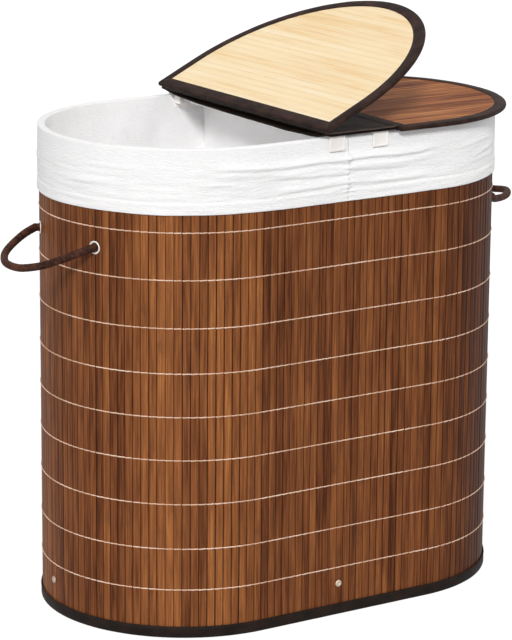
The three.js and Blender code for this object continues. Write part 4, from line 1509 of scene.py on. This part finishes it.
def makeCrossbar(side):
    mesh = bpy.data.meshes.new("bar")
    with worked(mesh) as work:
        addBlock(work, clips["bar"], (clips["middles"][side], 0, bagShape["barMiddle"]))
        rounding = {"offset": clips["barRounding"], "segments": 2, "profile": 0.5}
        bmesh.ops.bevel(work, geom=work.edges[:], affect="EDGES", **rounding)
    makePiece(side + "Crossbar", mesh, "steel", "hamper", "galvanised_steel", side + "_crossbar")


for clipSide in clips["middles"]:
    makeClip(clipSide, "front", -1)
    makeClip(clipSide, "rear", 1)
for barSide in clips["middles"]:
    makeCrossbar(barSide)

carried = {
    "steel": ["top_hoop", *("base_bracket_" + side for side in rivetPlaces)],
    "whiteMetal": ["eyelet_washer_" + corner for corner in eyeletPlaces],
    "board": ["base_board"],
}
for finishName, nodeNames in carried.items():
    for nodeName in nodeNames:
        nodeMesh = frame["nodes"][nodeName].data
        nodeMesh.materials.clear()
        nodeMesh.materials.append(finishes[finishName])
print("clips and inner parts finished")


# Floor, light and camera

studio = {
    "sky": 0.14,
    "floorSize": 30.0,
    "floorTone": 0.6,
    "seenFloorTone": 0.45,
    "floorGlow": 0.7,
    # Strength, where from (azimuth and elevation), width in degrees, and whether it casts shadows.
    # A lamp whose name starts with cloth lights the bags alone.
    "lamps": {
        "key": (2.25, (-36, 31), 12, True),
        "leftFill": (0.45, (-88, 18), 30, False),
        "rightFill": (0.22, (16, 35), 60, False),
        "topFill": (0.76, (0, 88), 60, False),
        "clothFill": (0.95, (66, 24), 60, False),
        "clothBackFill": (0.35, (-122, 24), 60, False),
    },
}


def wayFrom(azimuth, elevation):
    azimuth, elevation = math.radians(azimuth), math.radians(elevation)
    flat = math.cos(elevation)
    return Vector((math.sin(azimuth) * flat, -math.cos(azimuth) * flat, math.sin(elevation)))


def paintStage(owner, kind, lit, seen):
    # One shader for the light on the object, and another for what the camera, gloss and glass see.
    owner.use_nodes = True
    owner.node_tree.nodes.clear()
    tree = Tree(owner.node_tree)
    path = tree.add("ShaderNodeLightPath", output="Is Camera Ray")
    mask = path.most(tree.also(path, "Is Glossy Ray")).most(tree.also(path, "Is Transmission Ray"))
    tree.end(kind, tree.add("ShaderNodeMixShader", {}, {0: mask, 1: lit(tree), 2: seen(tree)}))


def makeStage():
    def plain(kind, tone, **strength):
        inputs = {"Color": (tone, tone, tone, 1.0), **strength}
        return lambda tree: tree.add("ShaderNode" + kind, {}, inputs)

    def seenFloor(tree):
        shade = plain("BsdfDiffuse", studio["seenFloorTone"])(tree)
        glow = plain("Emission", 1.0, Strength=studio["floorGlow"])(tree)
        return tree.add("ShaderNodeAddShader", {}, {0: shade, 1: glow})

    paper = bpy.data.materials.new("paleFloor")
    paintStage(paper, "ShaderNodeOutputMaterial", plain("BsdfDiffuse", studio["floorTone"]), seenFloor)
    size = studio["floorSize"]
    mesh = bpy.data.meshes.new("floor")
    corners = [(-size, -size, 0), (size, -size, 0), (size, size, 0), (-size, size, 0)]
    mesh.from_pydata(corners, [], [(0, 1, 2, 3)])
    makeObject("floor", mesh, paper)
    world = bpy.context.scene.world = bpy.data.worlds.new("studio")
    sky = plain("Background", 1.0, Strength=studio["sky"])
    paintStage(world, "ShaderNodeOutputWorld", sky, plain("Background", 1.0, Strength=1.0))


def makeLamps():
    cloth = bpy.data.collections.new("cloth")
    for piece in bpy.context.scene.objects:
        if piece.name.endswith(("Bag", "HemStitches")):
            cloth.objects.link(piece)
    for name, (strength, where, width, shadows) in studio["lamps"].items():
        light = bpy.data.lights.new(name, "SUN")
        light.energy, light.angle, light.use_shadow = strength, math.radians(width), shadows
        lamp = bpy.data.objects.new(name, light)
        lamp.rotation_mode = "QUATERNION"
        lamp.rotation_quaternion = wayFrom(*where).to_track_quat("Z", "Y")
        if name.startswith("cloth"):
            lamp.light_linking.receiver_collection = cloth
        bpy.context.scene.collection.objects.link(lamp)


photoCamera = {
    "azimuth": -33.119,
    "elevation": 14.131,
    "distance": 3.7508,
    "focalPixels": 3010.93,
    "shiftRight": -0.01541,
    "aimHeight": 0.3314,
    "roll": 0.466,
}


def makeCamera():
    facts = photoCamera
    back = wayFrom(facts["azimuth"], facts["elevation"])
    azimuth, turn = math.radians(facts["azimuth"]), math.radians(facts["roll"])
    right = Vector((math.cos(azimuth), math.sin(azimuth), 0))
    up = back.cross(right)
    right, up = right * math.cos(turn) + up * math.sin(turn), up * math.cos(turn) - right * math.sin(turn)
    place = Vector((0, 0, facts["aimHeight"])) + back * facts["distance"] + right * facts["shiftRight"]
    lens = bpy.data.cameras.new("camera")
    lens.sensor_width = 36
    lens.lens = facts["focalPixels"] * 36 / 640  # the sensor's width lies along the image's 640 pixels
    lens.clip_end = 100
    camera = bpy.data.objects.new("camera", lens)
    camera.matrix_world = Matrix.Translation(place) @ Matrix((right, up, back)).transposed().to_4x4()
    bpy.context.scene.collection.objects.link(camera)
    bpy.context.scene.camera = camera


makeStage()
makeLamps()
makeCamera()
bpy.context.scene.view_settings.view_transform = "Standard"
print("stage and camera made")
